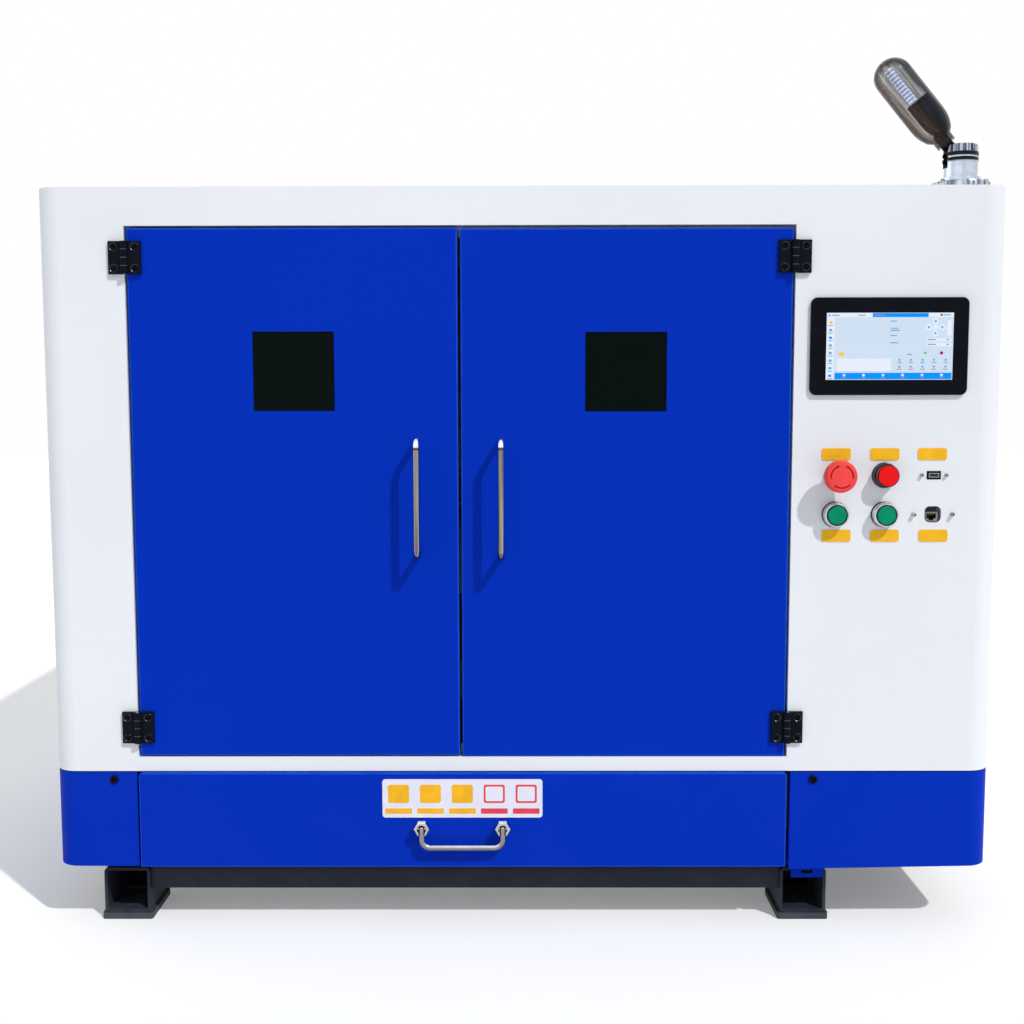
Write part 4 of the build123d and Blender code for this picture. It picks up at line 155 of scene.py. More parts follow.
class Tree:
    """Node helpers for one procedural material; coordinates are the object's own, in metres."""

    def __init__(self, name):
        self.material = bpy.data.materials.new(name)
        self.material.use_nodes = True
        self.tree = self.material.node_tree
        self.shader = self.tree.nodes["Principled BSDF"]
        places = self.tree.nodes.new("ShaderNodeTexCoord")
        self.coords = places.outputs["Object"]
        self.facing = places.outputs["Normal"]

    def node(self, kind, **values):
        made = self.tree.nodes.new("ShaderNode" + kind)
        for key, value in values.items():
            if key in made.inputs:
                made.inputs[key].default_value = value
            else:
                setattr(made, key, value)
        return made

    def link(self, source, target):
        self.tree.links.new(source, target)

    def set(self, **values):
        for key, value in values.items():
            self.shader.inputs[key.replace("_", " ")].default_value = value

    def stretched(self, scale):
        mapping = self.node("Mapping")
        mapping.inputs["Scale"].default_value = scale
        self.link(self.coords, mapping.inputs["Vector"])
        return mapping.outputs["Vector"]

    def noise(self, scale, detail, coords=None):
        made = self.node("TexNoise", Scale=scale, Detail=detail, Roughness=0.5)
        self.link(coords or self.coords, made.inputs["Vector"])
        return made.outputs["Fac"]

    def span(self, value, low, high, to_low=0.0, to_high=1.0):
        """Maps a value from one range to another and keeps it inside that range."""
        made = self.node("MapRange")
        sockets = ("From Min", "From Max", "To Min", "To Max")
        for socket, number in zip(sockets, (low, high, to_low, to_high)):
            made.inputs[socket].default_value = number
        self.link(value, made.inputs["Value"])
        return made.outputs["Result"]

    def mixed(self, fac, a, b):
        """Colour a where fac is 0 and colour b where it is 1."""
        made = self.node("Mix", data_type="RGBA", blend_type="MIX")
        for socket, value in ((made.inputs[6], a), (made.inputs[7], b)):
            if isinstance(value, tuple):
                socket.default_value = (*value[:3], 1.0)
            else:
                self.link(value, socket)
        self.link(fac, made.inputs[0])
        return made.outputs[2]

    def math(self, operation, a, b=0.0):
        made = self.node("Math", operation=operation)
        for socket, value in zip(made.inputs, (a, b)):
            if isinstance(value, (int, float)):
                socket.default_value = value
            else:
                self.link(value, socket)
        return made.outputs[0]

    def axis(self, name):
        made = self.node("SeparateXYZ")
        self.link(self.coords, made.inputs[0])
        return made.outputs[name]

    def between(self, name, low, high):
        """One where a coordinate in metres lies between two values, zero elsewhere."""
        value = self.axis(name)
        above = self.math("GREATER_THAN", value, low)
        return self.math("MULTIPLY", above, self.math("LESS_THAN", value, high))

    def off_axis(self, x, z):
        """Distance in metres from a line that stands out of the front at x, z in millimetres."""
        dx = self.math("SUBTRACT", self.axis("X"), x * MM)
        dz = self.math("SUBTRACT", self.axis("Z"), z * MM)
        squares = self.math("ADD", self.math("MULTIPLY", dx, dx), self.math("MULTIPLY", dz, dz))
        return self.math("SQRT", squares)

    def long_streaks(self, across_scale, along_scale, detail):
        """Noise drawn out along the tilted signal lamp."""
        along, across = self.along_lamp()
        place = self.node("CombineXYZ")
        parts = ((across, across_scale, "X"), (self.axis("Y"), across_scale, "Y"), (along, along_scale, "Z"))
        for source, scale, socket in parts:
            self.link(self.math("MULTIPLY", source, scale), place.inputs[socket])
        return self.noise(1.0, detail, place.outputs[0])

    def along_lamp(self):
        """Distances in metres along and across the tilted signal lamp."""
        sine, cosine = math.sin(LAMP_TILT), math.cos(LAMP_TILT)
        x, z = self.axis("X"), self.axis("Z")
        along = self.math("ADD", self.math("MULTIPLY", x, -sine), self.math("MULTIPLY", z, cosine))
        across = self.math("ADD", self.math("MULTIPLY", x, cosine), self.math("MULTIPLY", z, sine))
        return along, across

    def bump(self, height, strength, distance, below=None):
        made = self.node("Bump", Strength=strength, Distance=distance)
        self.link(height, made.inputs["Height"])
        if below is not None:
            self.link(below, made.inputs["Normal"])
        return made.outputs["Normal"]

    def finish(self, color, rough, normal=None):
        for socket, source in (("Base Color", color), ("Roughness", rough), ("Normal", normal)):
            if source is not None:
                self.link(source, self.shader.inputs[socket])
        return self.material


def powder_coat(name, color, rough, grain=620.0, dust=0.0, strength=0.28, gleam=0.3, edges=()):
    """Powder coat: orange peel bump, uneven gloss, faint clouding, dust that gathers low down, and a painted
    highlight round any edges given.
    """
    t = Tree(name)
    darker = tuple(c * 0.965 for c in color)
    lighter = tuple(min(1.0, c * 1.015) for c in color)
    cloud = t.span(t.noise(2.3, 4.0), 0.35, 0.65)
    base = t.mixed(cloud, darker, lighter)
    speck = t.span(t.noise(1400.0, 1.0), 0.66, 0.74, 0.0, 0.35)
    base = t.mixed(speck, base, tuple(min(1.0, c * 1.25 + 0.001) for c in color))
    low_down = t.span(t.axis("Z"), 0.0, 0.35, dust, 0.0)
    dusty = t.math("MULTIPLY", low_down, t.span(t.noise(9.0, 5.0), 0.35, 0.7))
    base = t.mixed(dusty, base, (0.42, 0.40, 0.37))
    # Painted highlight: a paler band, uneven along its length, round the edges of each box given
    for low, high in edges:
        inner = [t.between(axis, a + 0.0017, b - 0.0017) for axis, a, b in zip("XZ", low, high)]
        outer = [t.between(axis, a - 0.001, b + 0.001) for axis, a, b in zip("XZ", low, high)]
        rim = t.math("SUBTRACT", t.math("MULTIPLY", *outer), t.math("MULTIPLY", *inner))
        edge_highlight = t.math("MULTIPLY", rim, t.span(t.noise(40.0, 3.0), 0.2, 0.6, 0.3, 0.7))
        base = t.mixed(edge_highlight, base, EDGE_HIGHLIGHT_BLUE)
    peel = t.noise(grain, 2.0)
    wave = t.noise(70.0, 1.0)
    normal = t.bump(peel, strength, 0.00022, t.bump(wave, 0.06, 0.0006))
    gloss = t.math("ADD", t.span(t.noise(14.0, 3.0), 0.3, 0.7, rough * 0.88, rough * 1.12), dusty)
    t.set(Specular_IOR_Level=gleam)
    return t.finish(base, gloss, normal)


def brushed(name, color, rough, along=(1, 1, 1)):
    """Ground or brushed metal: fine lines across one direction, smudges in the gloss."""
    t = Tree(name)
    streak = t.noise(1.0, 3.0, t.stretched(tuple(1600.0 / a for a in along)))
    stain = t.span(t.noise(22.0, 4.0), 0.35, 0.7)
    base = t.mixed(stain, tuple(c * 0.86 for c in color), color)
    gloss = t.math("ADD", t.span(streak, 0.3, 0.7, rough - 0.04, rough + 0.04),
                   t.span(stain, 0.0, 1.0, 0.08, 0.0))
    t.set(Metallic=1.0)
    return t.finish(base, gloss, t.bump(streak, 0.14, 0.00008))


def polished(name, color, rough):
    """Polished plate: near mirror, with faint haze, pits and wipe marks."""
    t = Tree(name)
    haze = t.noise(45.0, 4.0)
    base = t.mixed(t.span(haze, 0.4, 0.75, 0.0, 0.5), color, tuple(c * 0.84 for c in color))
    pits = t.span(t.noise(2600.0, 1.0), 0.7, 0.8)
    gloss = t.math("ADD", t.span(haze, 0.3, 0.7, rough, rough * 2.2), t.math("MULTIPLY", pits, 0.1))
    t.set(Metallic=1.0)
    return t.finish(base, gloss, t.bump(t.noise(160.0, 2.0), 0.05, 0.0001))


def moulded(name, color, rough, grain=900.0, strength=0.12, vary=0.1, gleam=0.4):
    """Moulded plastic: fine spark-eroded grain and slightly uneven gloss."""
    t = Tree(name)
    cloud = t.span(t.noise(60.0, 3.0), 0.35, 0.65)
    darker = tuple(c * (1 - vary) for c in color)
    base = t.mixed(cloud, darker, tuple(min(1, c * (1 + vary * 0.5)) for c in color))
    gloss = t.span(t.noise(120.0, 2.0), 0.3, 0.7, rough * 0.85, rough * 1.15)
    t.set(Specular_IOR_Level=gleam)
    return t.finish(base, gloss, t.bump(t.noise(grain, 2.0), strength, 0.00006))


def filter_glass():
    """Dark green filter window with faint wipe marks."""
    t = Tree("filter_glass")
    color = (0.0006, 0.0055, 0.0045)
    marks = t.span(t.noise(35.0, 4.0), 0.45, 0.75)
    base = t.mixed(marks, color, tuple(c * 0.93 for c in color))
    t.set(IOR=1.12, Transmission_Weight=0.3)
    return t.finish(base, t.span(marks, 0.0, 1.0, 0.08, 0.12), t.bump(t.noise(300.0, 1.0), 0.03, 0.00005))


def glowing(name, color, strength, rough=0.25):
    """Lit display colour under glossy glass."""
    t = Tree(name)
    pixel = t.span(t.noise(2200.0, 1.0), 0.3, 0.7, 0.94, 1.0)
    base = t.mixed(pixel, tuple(c * 0.92 for c in color), color)
    t.link(base, t.shader.inputs["Emission Color"])
    t.set(Emission_Strength=strength, Specular_IOR_Level=0.1)
    return t.finish(base, t.span(t.noise(50.0, 2.0), 0.3, 0.7, rough * 0.8, rough * 1.2))


def banded_lamp_base():
    """Plated base of the signal lamp: bright body, two dark bands with a thin light line, ribbed ring."""
    t = Tree("lamp_plated")
    haze = t.noise(60.0, 3.0)
    lines = t.noise(1.0, 2.0, t.stretched((330.0, 330.0, 9.0)))
    base = t.mixed(t.span(haze, 0.35, 0.7, 0.0, 0.6), (0.61, 0.67, 0.78), (0.36, 0.40, 0.48))
    ribbed = t.math("MULTIPLY", t.span(lines, 0.44, 0.56), t.span(t.axis("Z"), 0.9845, 0.9860))
    foot = t.math("MULTIPLY", t.span(lines, 0.42, 0.58, 0.0, 0.75), t.span(t.axis("Z"), 0.9500, 0.9480))
    base = t.mixed(t.math("MAXIMUM", ribbed, foot), base, (0.035, 0.05, 0.085))
    dark = t.math("SUBTRACT", t.between("Z", 0.9743, 0.9854), t.between("Z", 0.9788, 0.9806))
    base = t.mixed(dark, base, (0.003, 0.003, 0.005))
    t.set(Specular_IOR_Level=0.2)
    t.link(t.math("SUBTRACT", 1.0, t.math("MULTIPLY", dark, 0.9)), t.shader.inputs["Metallic"])
    gloss = t.span(haze, 0.3, 0.7, 0.14, 0.28)
    return t.finish(base, gloss, t.bump(t.noise(500.0, 2.0), 0.06, 0.0001))


def rimmed_pilot():
    """Red pilot lens: bright middle with faint rings, dark at its rim."""
    t = Tree("pilot_lens_red")
    reach = t.off_axis(*PILOT_PLACE)
    rings = t.math("SINE", t.math("MULTIPLY", reach, 5200.0))
    base = t.mixed(t.span(rings, -1.0, 1.0), (0.74, 0.0002, 0.001), (0.92, 0.001, 0.006))
    base = t.mixed(t.span(reach, 0.0120, 0.0127), base, (0.10, 0.0008, 0.0012))
    t.set(Specular_IOR_Level=0.18)
    return t.finish(base, t.span(t.noise(90.0, 2.0), 0.3, 0.7, 0.16, 0.24), t.bump(rings, 0.12, 0.0001))


def facing_painted_chrome(name, shaded_under, side, sky_lit_top):
    """Chromed parts of the drawer bail: a painted sky reflection on top, darker at the sides, and painted
    shade below.
    """
    t = Tree(name)
    facing = t.node("SeparateXYZ")
    t.link(t.facing, facing.inputs[0])
    up = facing.outputs["Z"]
    # Painted reflection and shade: the colour follows which way the surface faces, pale upward, dark
    # downward
    base = t.mixed(t.span(up, -0.75, -0.05), shaded_under, side)
    base = t.mixed(t.span(up, 0.2, 0.75), base, sky_lit_top)
    haze = t.noise(60.0, 3.0)
    base = t.mixed(t.span(haze, 0.4, 0.75, 0.0, 0.25), base, shaded_under)
    t.set(Metallic=1.0)
    return t.finish(base, t.span(haze, 0.3, 0.7, 0.07, 0.15), t.bump(t.noise(160.0, 2.0), 0.05, 0.0001))


def frame_coat():
    """Powder coated frame steel: darkest on the rails; the feet paler and their plates palest, as painted
    sunlight.
    """
    t = Tree("frame_powder")
    cloud = t.span(t.noise(5.0, 4.0), 0.35, 0.65)
    base = t.mixed(cloud, (0.0098, 0.0135, 0.0245), (0.0112, 0.0155, 0.0275))
    # Painted light: the feet, and most of all their plates, made paler where the sun reaches them below the
    # skirt
    base = t.mixed(t.span(t.axis("Z"), 0.069, 0.058), base, (0.022, 0.027, 0.039))
    base = t.mixed(t.span(t.axis("Z"), 0.0086, 0.0076), base, (0.058, 0.066, 0.086))
    low_down = t.span(t.axis("Z"), 0.0, 0.07, 0.10, 0.0)
    dusty = t.math("MULTIPLY", low_down, t.span(t.noise(30.0, 5.0), 0.35, 0.7))
    base = t.mixed(dusty, base, (0.30, 0.30, 0.31))
    t.set(Specular_IOR_Level=0.12)
    gloss = t.math("ADD", t.span(t.noise(14.0, 3.0), 0.3, 0.7, 0.44, 0.56), dusty)
    return t.finish(base, gloss, t.bump(t.noise(620.0, 2.0), 0.28, 0.00022))


def smoked_lens():
    """Clear lens: see-through wall, thicker to the eye at its rims, with long moulding streaks and a painted
    brown reflection down its lower left side.
    """
    t = Tree("lens_clear")
    streak = t.long_streaks(260.0, 14.0, 2.0)
    rim = t.node("LayerWeight", Blend=0.5).outputs["Facing"]
    middle = LAMP_PIVOT[0] * math.cos(LAMP_TILT) + LAMP_PIVOT[1] * math.sin(LAMP_TILT)
    # Painted reflection: brown over the lower left side of the lens, the rest left dark
    painted_reflection_side = t.span(t.math("SUBTRACT", t.along_lamp()[1], middle), 0.002, -0.012)
    tint_and_painted_reflection = t.mixed(painted_reflection_side, (0.010, 0.013, 0.022), (0.17, 0.095, 0.052))
    base = t.mixed(t.span(streak, 0.42, 0.60), tint_and_painted_reflection, (0.05, 0.053, 0.066))
    base = t.mixed(t.span(rim, 0.55, 0.85), base, (0.004, 0.004, 0.006))
    depth = t.math("ADD", t.span(rim, 0.2, 0.9, 0.14, 0.78), t.span(streak, 0.42, 0.60, 0.30, 0.0))
    t.link(depth, t.shader.inputs["Alpha"])
    t.set(Specular_IOR_Level=0.14)
    return t.finish(base, t.span(t.noise(40.0, 3.0), 0.3, 0.7, 0.05, 0.12))


def sky_streaked_holder():
    """Glossy black lamp holder with soft blue streaks painted in as a sky reflection."""
    t = Tree("lamp_holder_black")
    sky_streak = t.long_streaks(90.0, 22.0, 3.0)
    # Painted reflection: blue sky streaks along the lamp on the black base
    base = t.mixed(t.span(sky_streak, 0.50, 0.68), (0.0012, 0.0013, 0.002), (0.016, 0.028, 0.062))
    t.set(Specular_IOR_Level=0.05)
    return t.finish(base, t.span(sky_streak, 0.3, 0.7, 0.14, 0.26), t.bump(t.noise(240.0, 2.0), 0.03, 0.0001))


def drawn_chrome():
    """Chromed bow handles: drawn lines along the bar, a painted sky reflection on the upper bend and a
    painted dark band just below it.
    """
    t = Tree("handle_chrome")
    low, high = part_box("door_left_handle")
    lines = t.noise(1.0, 2.0, t.stretched((420.0, 420.0, 5.0)))
    base = t.mixed(t.span(lines, 0.36, 0.64), (0.11, 0.098, 0.09), (0.40, 0.375, 0.36))
    # Painted reflection: the upper bend pale as if mirroring the sky, with a painted dark band under it
    sky_reflection_band = t.span(t.axis("Z"), high.z - 0.0145, high.z - 0.0125)
    painted_dark_band = t.math("SUBTRACT", t.span(t.axis("Z"), high.z - 0.0175, high.z - 0.0155), sky_reflection_band)
    base = t.mixed(sky_reflection_band, t.mixed(painted_dark_band, base, (0.04, 0.04, 0.045)), (0.86, 0.87, 0.90))
    t.set(Metallic=1.0)
    return t.finish(base, t.span(lines, 0.3, 0.7, 0.05, 0.13), t.bump(lines, 0.05, 0.00005))


def led_column():
    """Pale lamp column seen through the lens: ribs across its tilted length drawn as stripes of painted
    light and shade, with a faint painted glow.
    """
    t = Tree("lamp_column")
    # Painted light and shade: the ribs drawn as pale and dark stripes
    rib_stripes = t.math("SINE", t.math("MULTIPLY", t.along_lamp()[0], 2 * math.pi / LAMP_ROW_PITCH))
    base = t.mixed(t.span(rib_stripes, -0.4, 0.4), (0.24, 0.33, 0.52), (0.66, 0.76, 0.95))
    # Painted glow: lifts the column out of the shade the lens casts
    t.link(base, t.shader.inputs["Emission Color"])
    t.set(Emission_Strength=1.1)
    return t.finish(base, t.span(t.noise(90.0, 2.0), 0.3, 0.7, 0.3, 0.42))


def two_tone_screws():
    """Fixed screws: zinc plated on the panel, roof and back, black oxide on hinges and skirts."""
    t = Tree("screw_finish")
    stain = t.noise(300.0, 3.0)
    zinc = t.mixed(t.span(stain, 0.35, 0.65), (0.17, 0.165, 0.14), (0.55, 0.54, 0.48))
    oxide = t.mixed(t.span(stain, 0.3, 0.7), (0.001, 0.0012, 0.002), (0.006, 0.007, 0.010))
    right = t.math("GREATER_THAN", t.axis("X"), 0.42)
    bright = t.math("MAXIMUM", right, t.math("GREATER_THAN", t.axis("Y"), 0.4))
    t.link(bright, t.shader.inputs["Metallic"])
    t.set(Specular_IOR_Level=0.05)
    return t.finish(t.mixed(bright, oxide, zinc), t.span(stain, 0.3, 0.7, 0.26, 0.4),
                    t.bump(t.noise(1800.0, 1.0), 0.1, 0.00008))


def network_jack():
    """Network socket: black shell, grey jack face in its recess, pale right wall."""
    t = Tree("network_finish")
    grain = t.span(t.noise(700.0, 2.0), 0.3, 0.7)
    black = t.mixed(grain, (0.005, 0.005, 0.006), (0.014, 0.014, 0.016))
    grey = t.mixed(grain, (0.19, 0.18, 0.17), (0.27, 0.26, 0.245))
    pale = t.mixed(grain, (0.36, 0.37, 0.40), (0.46, 0.47, 0.50))
    below = t.math("LESS_THAN", t.axis("Z"), 0.5355)
    face = t.math("MULTIPLY", t.between("Y", -0.4995, -0.4984), below)
    right = t.math("GREATER_THAN", t.axis("X"), 0.5207)
    wall = t.math("MULTIPLY", t.between("Y", -0.4995, -0.4916), right)
    base = t.mixed(wall, t.mixed(face, black, grey), pale)
    return t.finish(base, t.span(grain, 0.0, 1.0, 0.34, 0.46), t.bump(t.noise(900.0, 2.0), 0.1, 0.00006))


def bezel_steel():
    """Plated control rings: bright face and flank, dark foot and a fine turned grain."""
    t = Tree("control_ring_plate")
    depth = t.axis("Y")
    pilot = t.math("LESS_THAN", t.off_axis(*PILOT_PLACE), 0.02)
    turned = t.noise(1.0, 2.0, t.stretched((300.0, 9000.0, 300.0)))
    shade = t.span(depth, -0.5048, -0.5034)
    base = t.mixed(t.span(turned, 0.3, 0.7), (0.50, 0.52, 0.56), (0.78, 0.80, 0.84))
    base = t.mixed(t.math("MAXIMUM", shade, pilot), base, (0.04, 0.044, 0.054))
    t.set(Metallic=0.9)
    return t.finish(base, t.span(turned, 0.3, 0.7, 0.2, 0.34), t.bump(turned, 0.1, 0.00005))


# Finish of each material slot in the record
MATERIALS = {
    "white_paint": powder_coat("white_powder", WHITE, 0.42, dust=0.04, strength=0.2, gleam=0.12),
    "blue_paint": powder_coat("blue_powder", BLUE, 0.5, dust=0.004, gleam=0.035),
    "frame_grey": frame_coat(),
    "hinge_black": powder_coat("hinge_coat", (0.004, 0.006, 0.011), 0.4, 900.0, gleam=0.04),
    "chrome": polished("chrome_plate", (0.27, 0.255, 0.245), 0.07),
    "bright_steel": brushed("bright_steel", (0.62, 0.63, 0.65), 0.26),
    "slat_steel": brushed("slat_steel", (0.36, 0.365, 0.375), 0.42, along=(8, 1, 1)),
    "machined_aluminium": brushed("machined_aluminium", (0.72, 0.73, 0.75), 0.34, along=(6, 1, 1)),
    "motor_black": powder_coat("motor_coat", (0.018, 0.018, 0.02), 0.4),
    "brass": brushed("brass", (0.72, 0.52, 0.22), 0.25),
    "black_gloss": moulded("bezel_black", (0.004, 0.005, 0.008), 0.3, strength=0.03, gleam=0.04),
    "black_matte": moulded("black_moulding", (0.004, 0.004, 0.006), 0.5, gleam=0.06),
    "screen_glass": glowing("screen_back", (0.62, 0.72, 0.84), 0.25, 0.12),
    "signal_red": moulded("stop_red", (0.90, 0.060, 0.060), 0.45, strength=0.08, vary=0.06, gleam=0.25),
    "pilot_red": rimmed_pilot(),
    "button_green": moulded("button_green", (0.0, 0.27, 0.135), 0.4, strength=0.08, gleam=0.07),
    "label_yellow": moulded("label_yellow", (0.93, 0.49, 0.012), 0.45, 400.0, 0.1, 0.08, 0.2),
    "plaque_white": moulded("plaque_white", (0.80, 0.80, 0.93), 0.36, 300.0, 0.06, 0.03, 0.2),
    "reflector_white": led_column(),
    "clear_lens": smoked_lens(),
    "window_glass": filter_glass(),
    "case_grey": powder_coat("case_grey", (0.10, 0.11, 0.125), 0.4),
    "device_grey": moulded("device_grey", (0.34, 0.36, 0.38), 0.45),
}

# More tones for the pieces made below
EXTRA = {
    "ui_blue": glowing("screen_blue", (0.0, 0.235, 0.78), 0.25),
    "ui_sky": glowing("screen_sky", (0.10, 0.36, 0.62), 0.22),
    "ui_pale": glowing("screen_pale", (0.52, 0.62, 0.74), 0.22),
    "ui_white": glowing("screen_white", (0.66, 0.71, 0.80), 0.22),
    "ui_grey": glowing("screen_grey", (0.22, 0.28, 0.36), 0.2),
    "ui_green": glowing("screen_green", (0.04, 0.55, 0.04), 0.25),
    "ui_red": glowing("screen_red", (0.36, 0.0, 0.01), 0.25),
    "ui_yellow": glowing("screen_yellow", (0.72, 0.50, 0.02), 0.25),
    "field_red": moulded("field_red", (0.78, 0.045, 0.07), 0.36, strength=0.06),
    "stop_dark": moulded("stop_dark", (0.34, 0.010, 0.012), 0.5, gleam=0.2),
    "silver": polished("silver_plate", (0.82, 0.83, 0.86), 0.16),
    "port_white": moulded("port_white", (0.62, 0.63, 0.62), 0.4),
    "gold": polished("contact_gold", (0.83, 0.62, 0.25), 0.2),
    "worn_black": polished("worn_black", (0.035, 0.04, 0.048), 0.16),
    "worn_steel": polished("worn_steel", (0.10, 0.107, 0.12), 0.2),
    "shaded_gold": polished("jack_contacts", (0.12, 0.085, 0.03), 0.3),
# Gold contacts darkened as painted shade inside the jack's recess
}


def coat(node, material):
    """Gives a CAD node its material."""
    nodes[node].data.materials.clear()
    nodes[node].data.materials.append(material)


def edge_lit_pan(node):
    """Blue coat of a door or drawer front, paler along its four edges as a painted highlight."""
    low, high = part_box(node)
    edges = [((low.x, low.z), (high.x, high.z))]
    return powder_coat(f"{node}_blue", BLUE, 0.5, dust=0.004, gleam=0.035, edges=edges)


def coat_nodes():
    """Every CAD node gets the material of its slot, then some get a finish of their own."""
    for entry in frame["record"]["subparts"]:
        coat(entry["node"], MATERIALS[entry["material_slot"]])
    handles = drawn_chrome()
    # Bail and cups: painted sky reflection on top, painted shade below
    bail = facing_painted_chrome("bail_chrome", (0.10, 0.09, 0.085), (0.30, 0.28, 0.27), (0.86, 0.87, 0.90))
    cups = facing_painted_chrome("cup_chrome", (0.08, 0.075, 0.07), (0.55, 0.54, 0.53), (0.90, 0.90, 0.92))
    for node in ("door_left_panel", "door_right_panel", "drawer_front"):
        coat(node, edge_lit_pan(node))
    coat("lamp_base", banded_lamp_base())
    coat("body_screws", two_tone_screws())
    coat("network_socket", network_jack())
    coat("control_bezels", bezel_steel())
    coat("lamp_holder", sky_streaked_holder())
    coat("door_left_handle", handles)
    coat("door_right_handle", handles)
    coat("drawer_bail", bail)
    coat("bail_bosses", cups)


def piece(name, mesh, body, material, smooth=None):
    """Turns a bmesh in millimetres into a piece that rides on a body."""
    for vertex in mesh.verts:
        vertex.co *= MM
    data = bpy.data.meshes.new(name)
    mesh.normal_update()
    mesh.to_mesh(data)
    mesh.free()
    made = bpy.data.objects.new(name, data)
    bpy.context.scene.collection.objects.link(made)
    for one in material if isinstance(material, (list, tuple)) else [material]:
        data.materials.append(one)
    if smooth is not None:
        data.shade_smooth()
        data.set_sharp_from_angle(angle=math.radians(smooth))
    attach(made, body)


def lathe(mesh, profile, place, steps, index=0):
    """Adds a turned shape; profile is (radius, reach), place maps (a, b, reach) to the row frame."""
    rings = []
    for radius, reach in profile:
        if radius < 1e-6:
            rings.append([mesh.verts.new(place(0.0, 0.0, reach))])
            continue
        ring = []
        for k in range(steps):
            angle = 2 * math.pi * k / steps
            ring.append(mesh.verts.new(place(radius * math.cos(angle), radius * math.sin(angle), reach)))
        rings.append(ring)
    for a, b in zip(rings, rings[1:]):
        for k in range(steps):
            n = (k + 1) % steps
            if len(a) == 1 and len(b) == 1:
                continue
            if len(a) == 1:
                face = mesh.faces.new((a[0], b[k], b[n]))
            elif len(b) == 1:
                face = mesh.faces.new((a[k], b[0], a[n]))
            else:
                face = mesh.faces.new((a[k], b[k], b[n], a[n]))
            face.material_index = index


def facing(x, z):
    """Maps a turned shape so that its reach stands out of the front at x, z."""
    return lambda a, b, reach: (x + a, FRONT - reach, z + b)


def behind(x, y, z):
    """Maps a turned shape so that its reach points to the back from x, y, z."""
    return lambda a, b, reach: (x + a, y + reach, z + b)


def standing(x, y, z):
    """Maps a turned shape so that its reach points up from x, y, z."""
    return lambda a, b, reach: (x + a, y + b, z + reach)


def rounded_plate(mesh, x, z, width, height, radius, y0, y1, index, steps, edge):
    """A thin rounded plate facing the operator, with a small chamfer round its front."""

    def outline(inset, y):
        made = []
        for cx, cz, start in ((1, 1, 0), (-1, 1, 90), (-1, -1, 180), (1, -1, 270)):
            for k in range(steps + 1):
                angle = math.radians(start + 90 * k / steps)
                px = x + cx * (width / 2 - radius) + (radius - inset) * math.cos(angle)
                pz = z + cz * (height / 2 - radius) + (radius - inset) * math.sin(angle)
                made.append(mesh.verts.new((px, y, pz)))
        return made

    rings = [outline(0.0, y0), outline(0.0, y1 + edge), outline(min(edge, radius * 0.9), y1)]
    count = len(rings[0])
    for a, b in zip(rings, rings[1:]):
        for k in range(count):
            n = (k + 1) % count
            mesh.faces.new((a[k], a[n], b[n], b[k])).material_index = index
    mesh.faces.new(rings[-1]).material_index = index
    mesh.faces.new(list(reversed(rings[0]))).material_index = index


def low_high(node):
    """Corners of a CAD node in millimetres."""
    low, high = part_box(node)
    return low / MM, high / MM


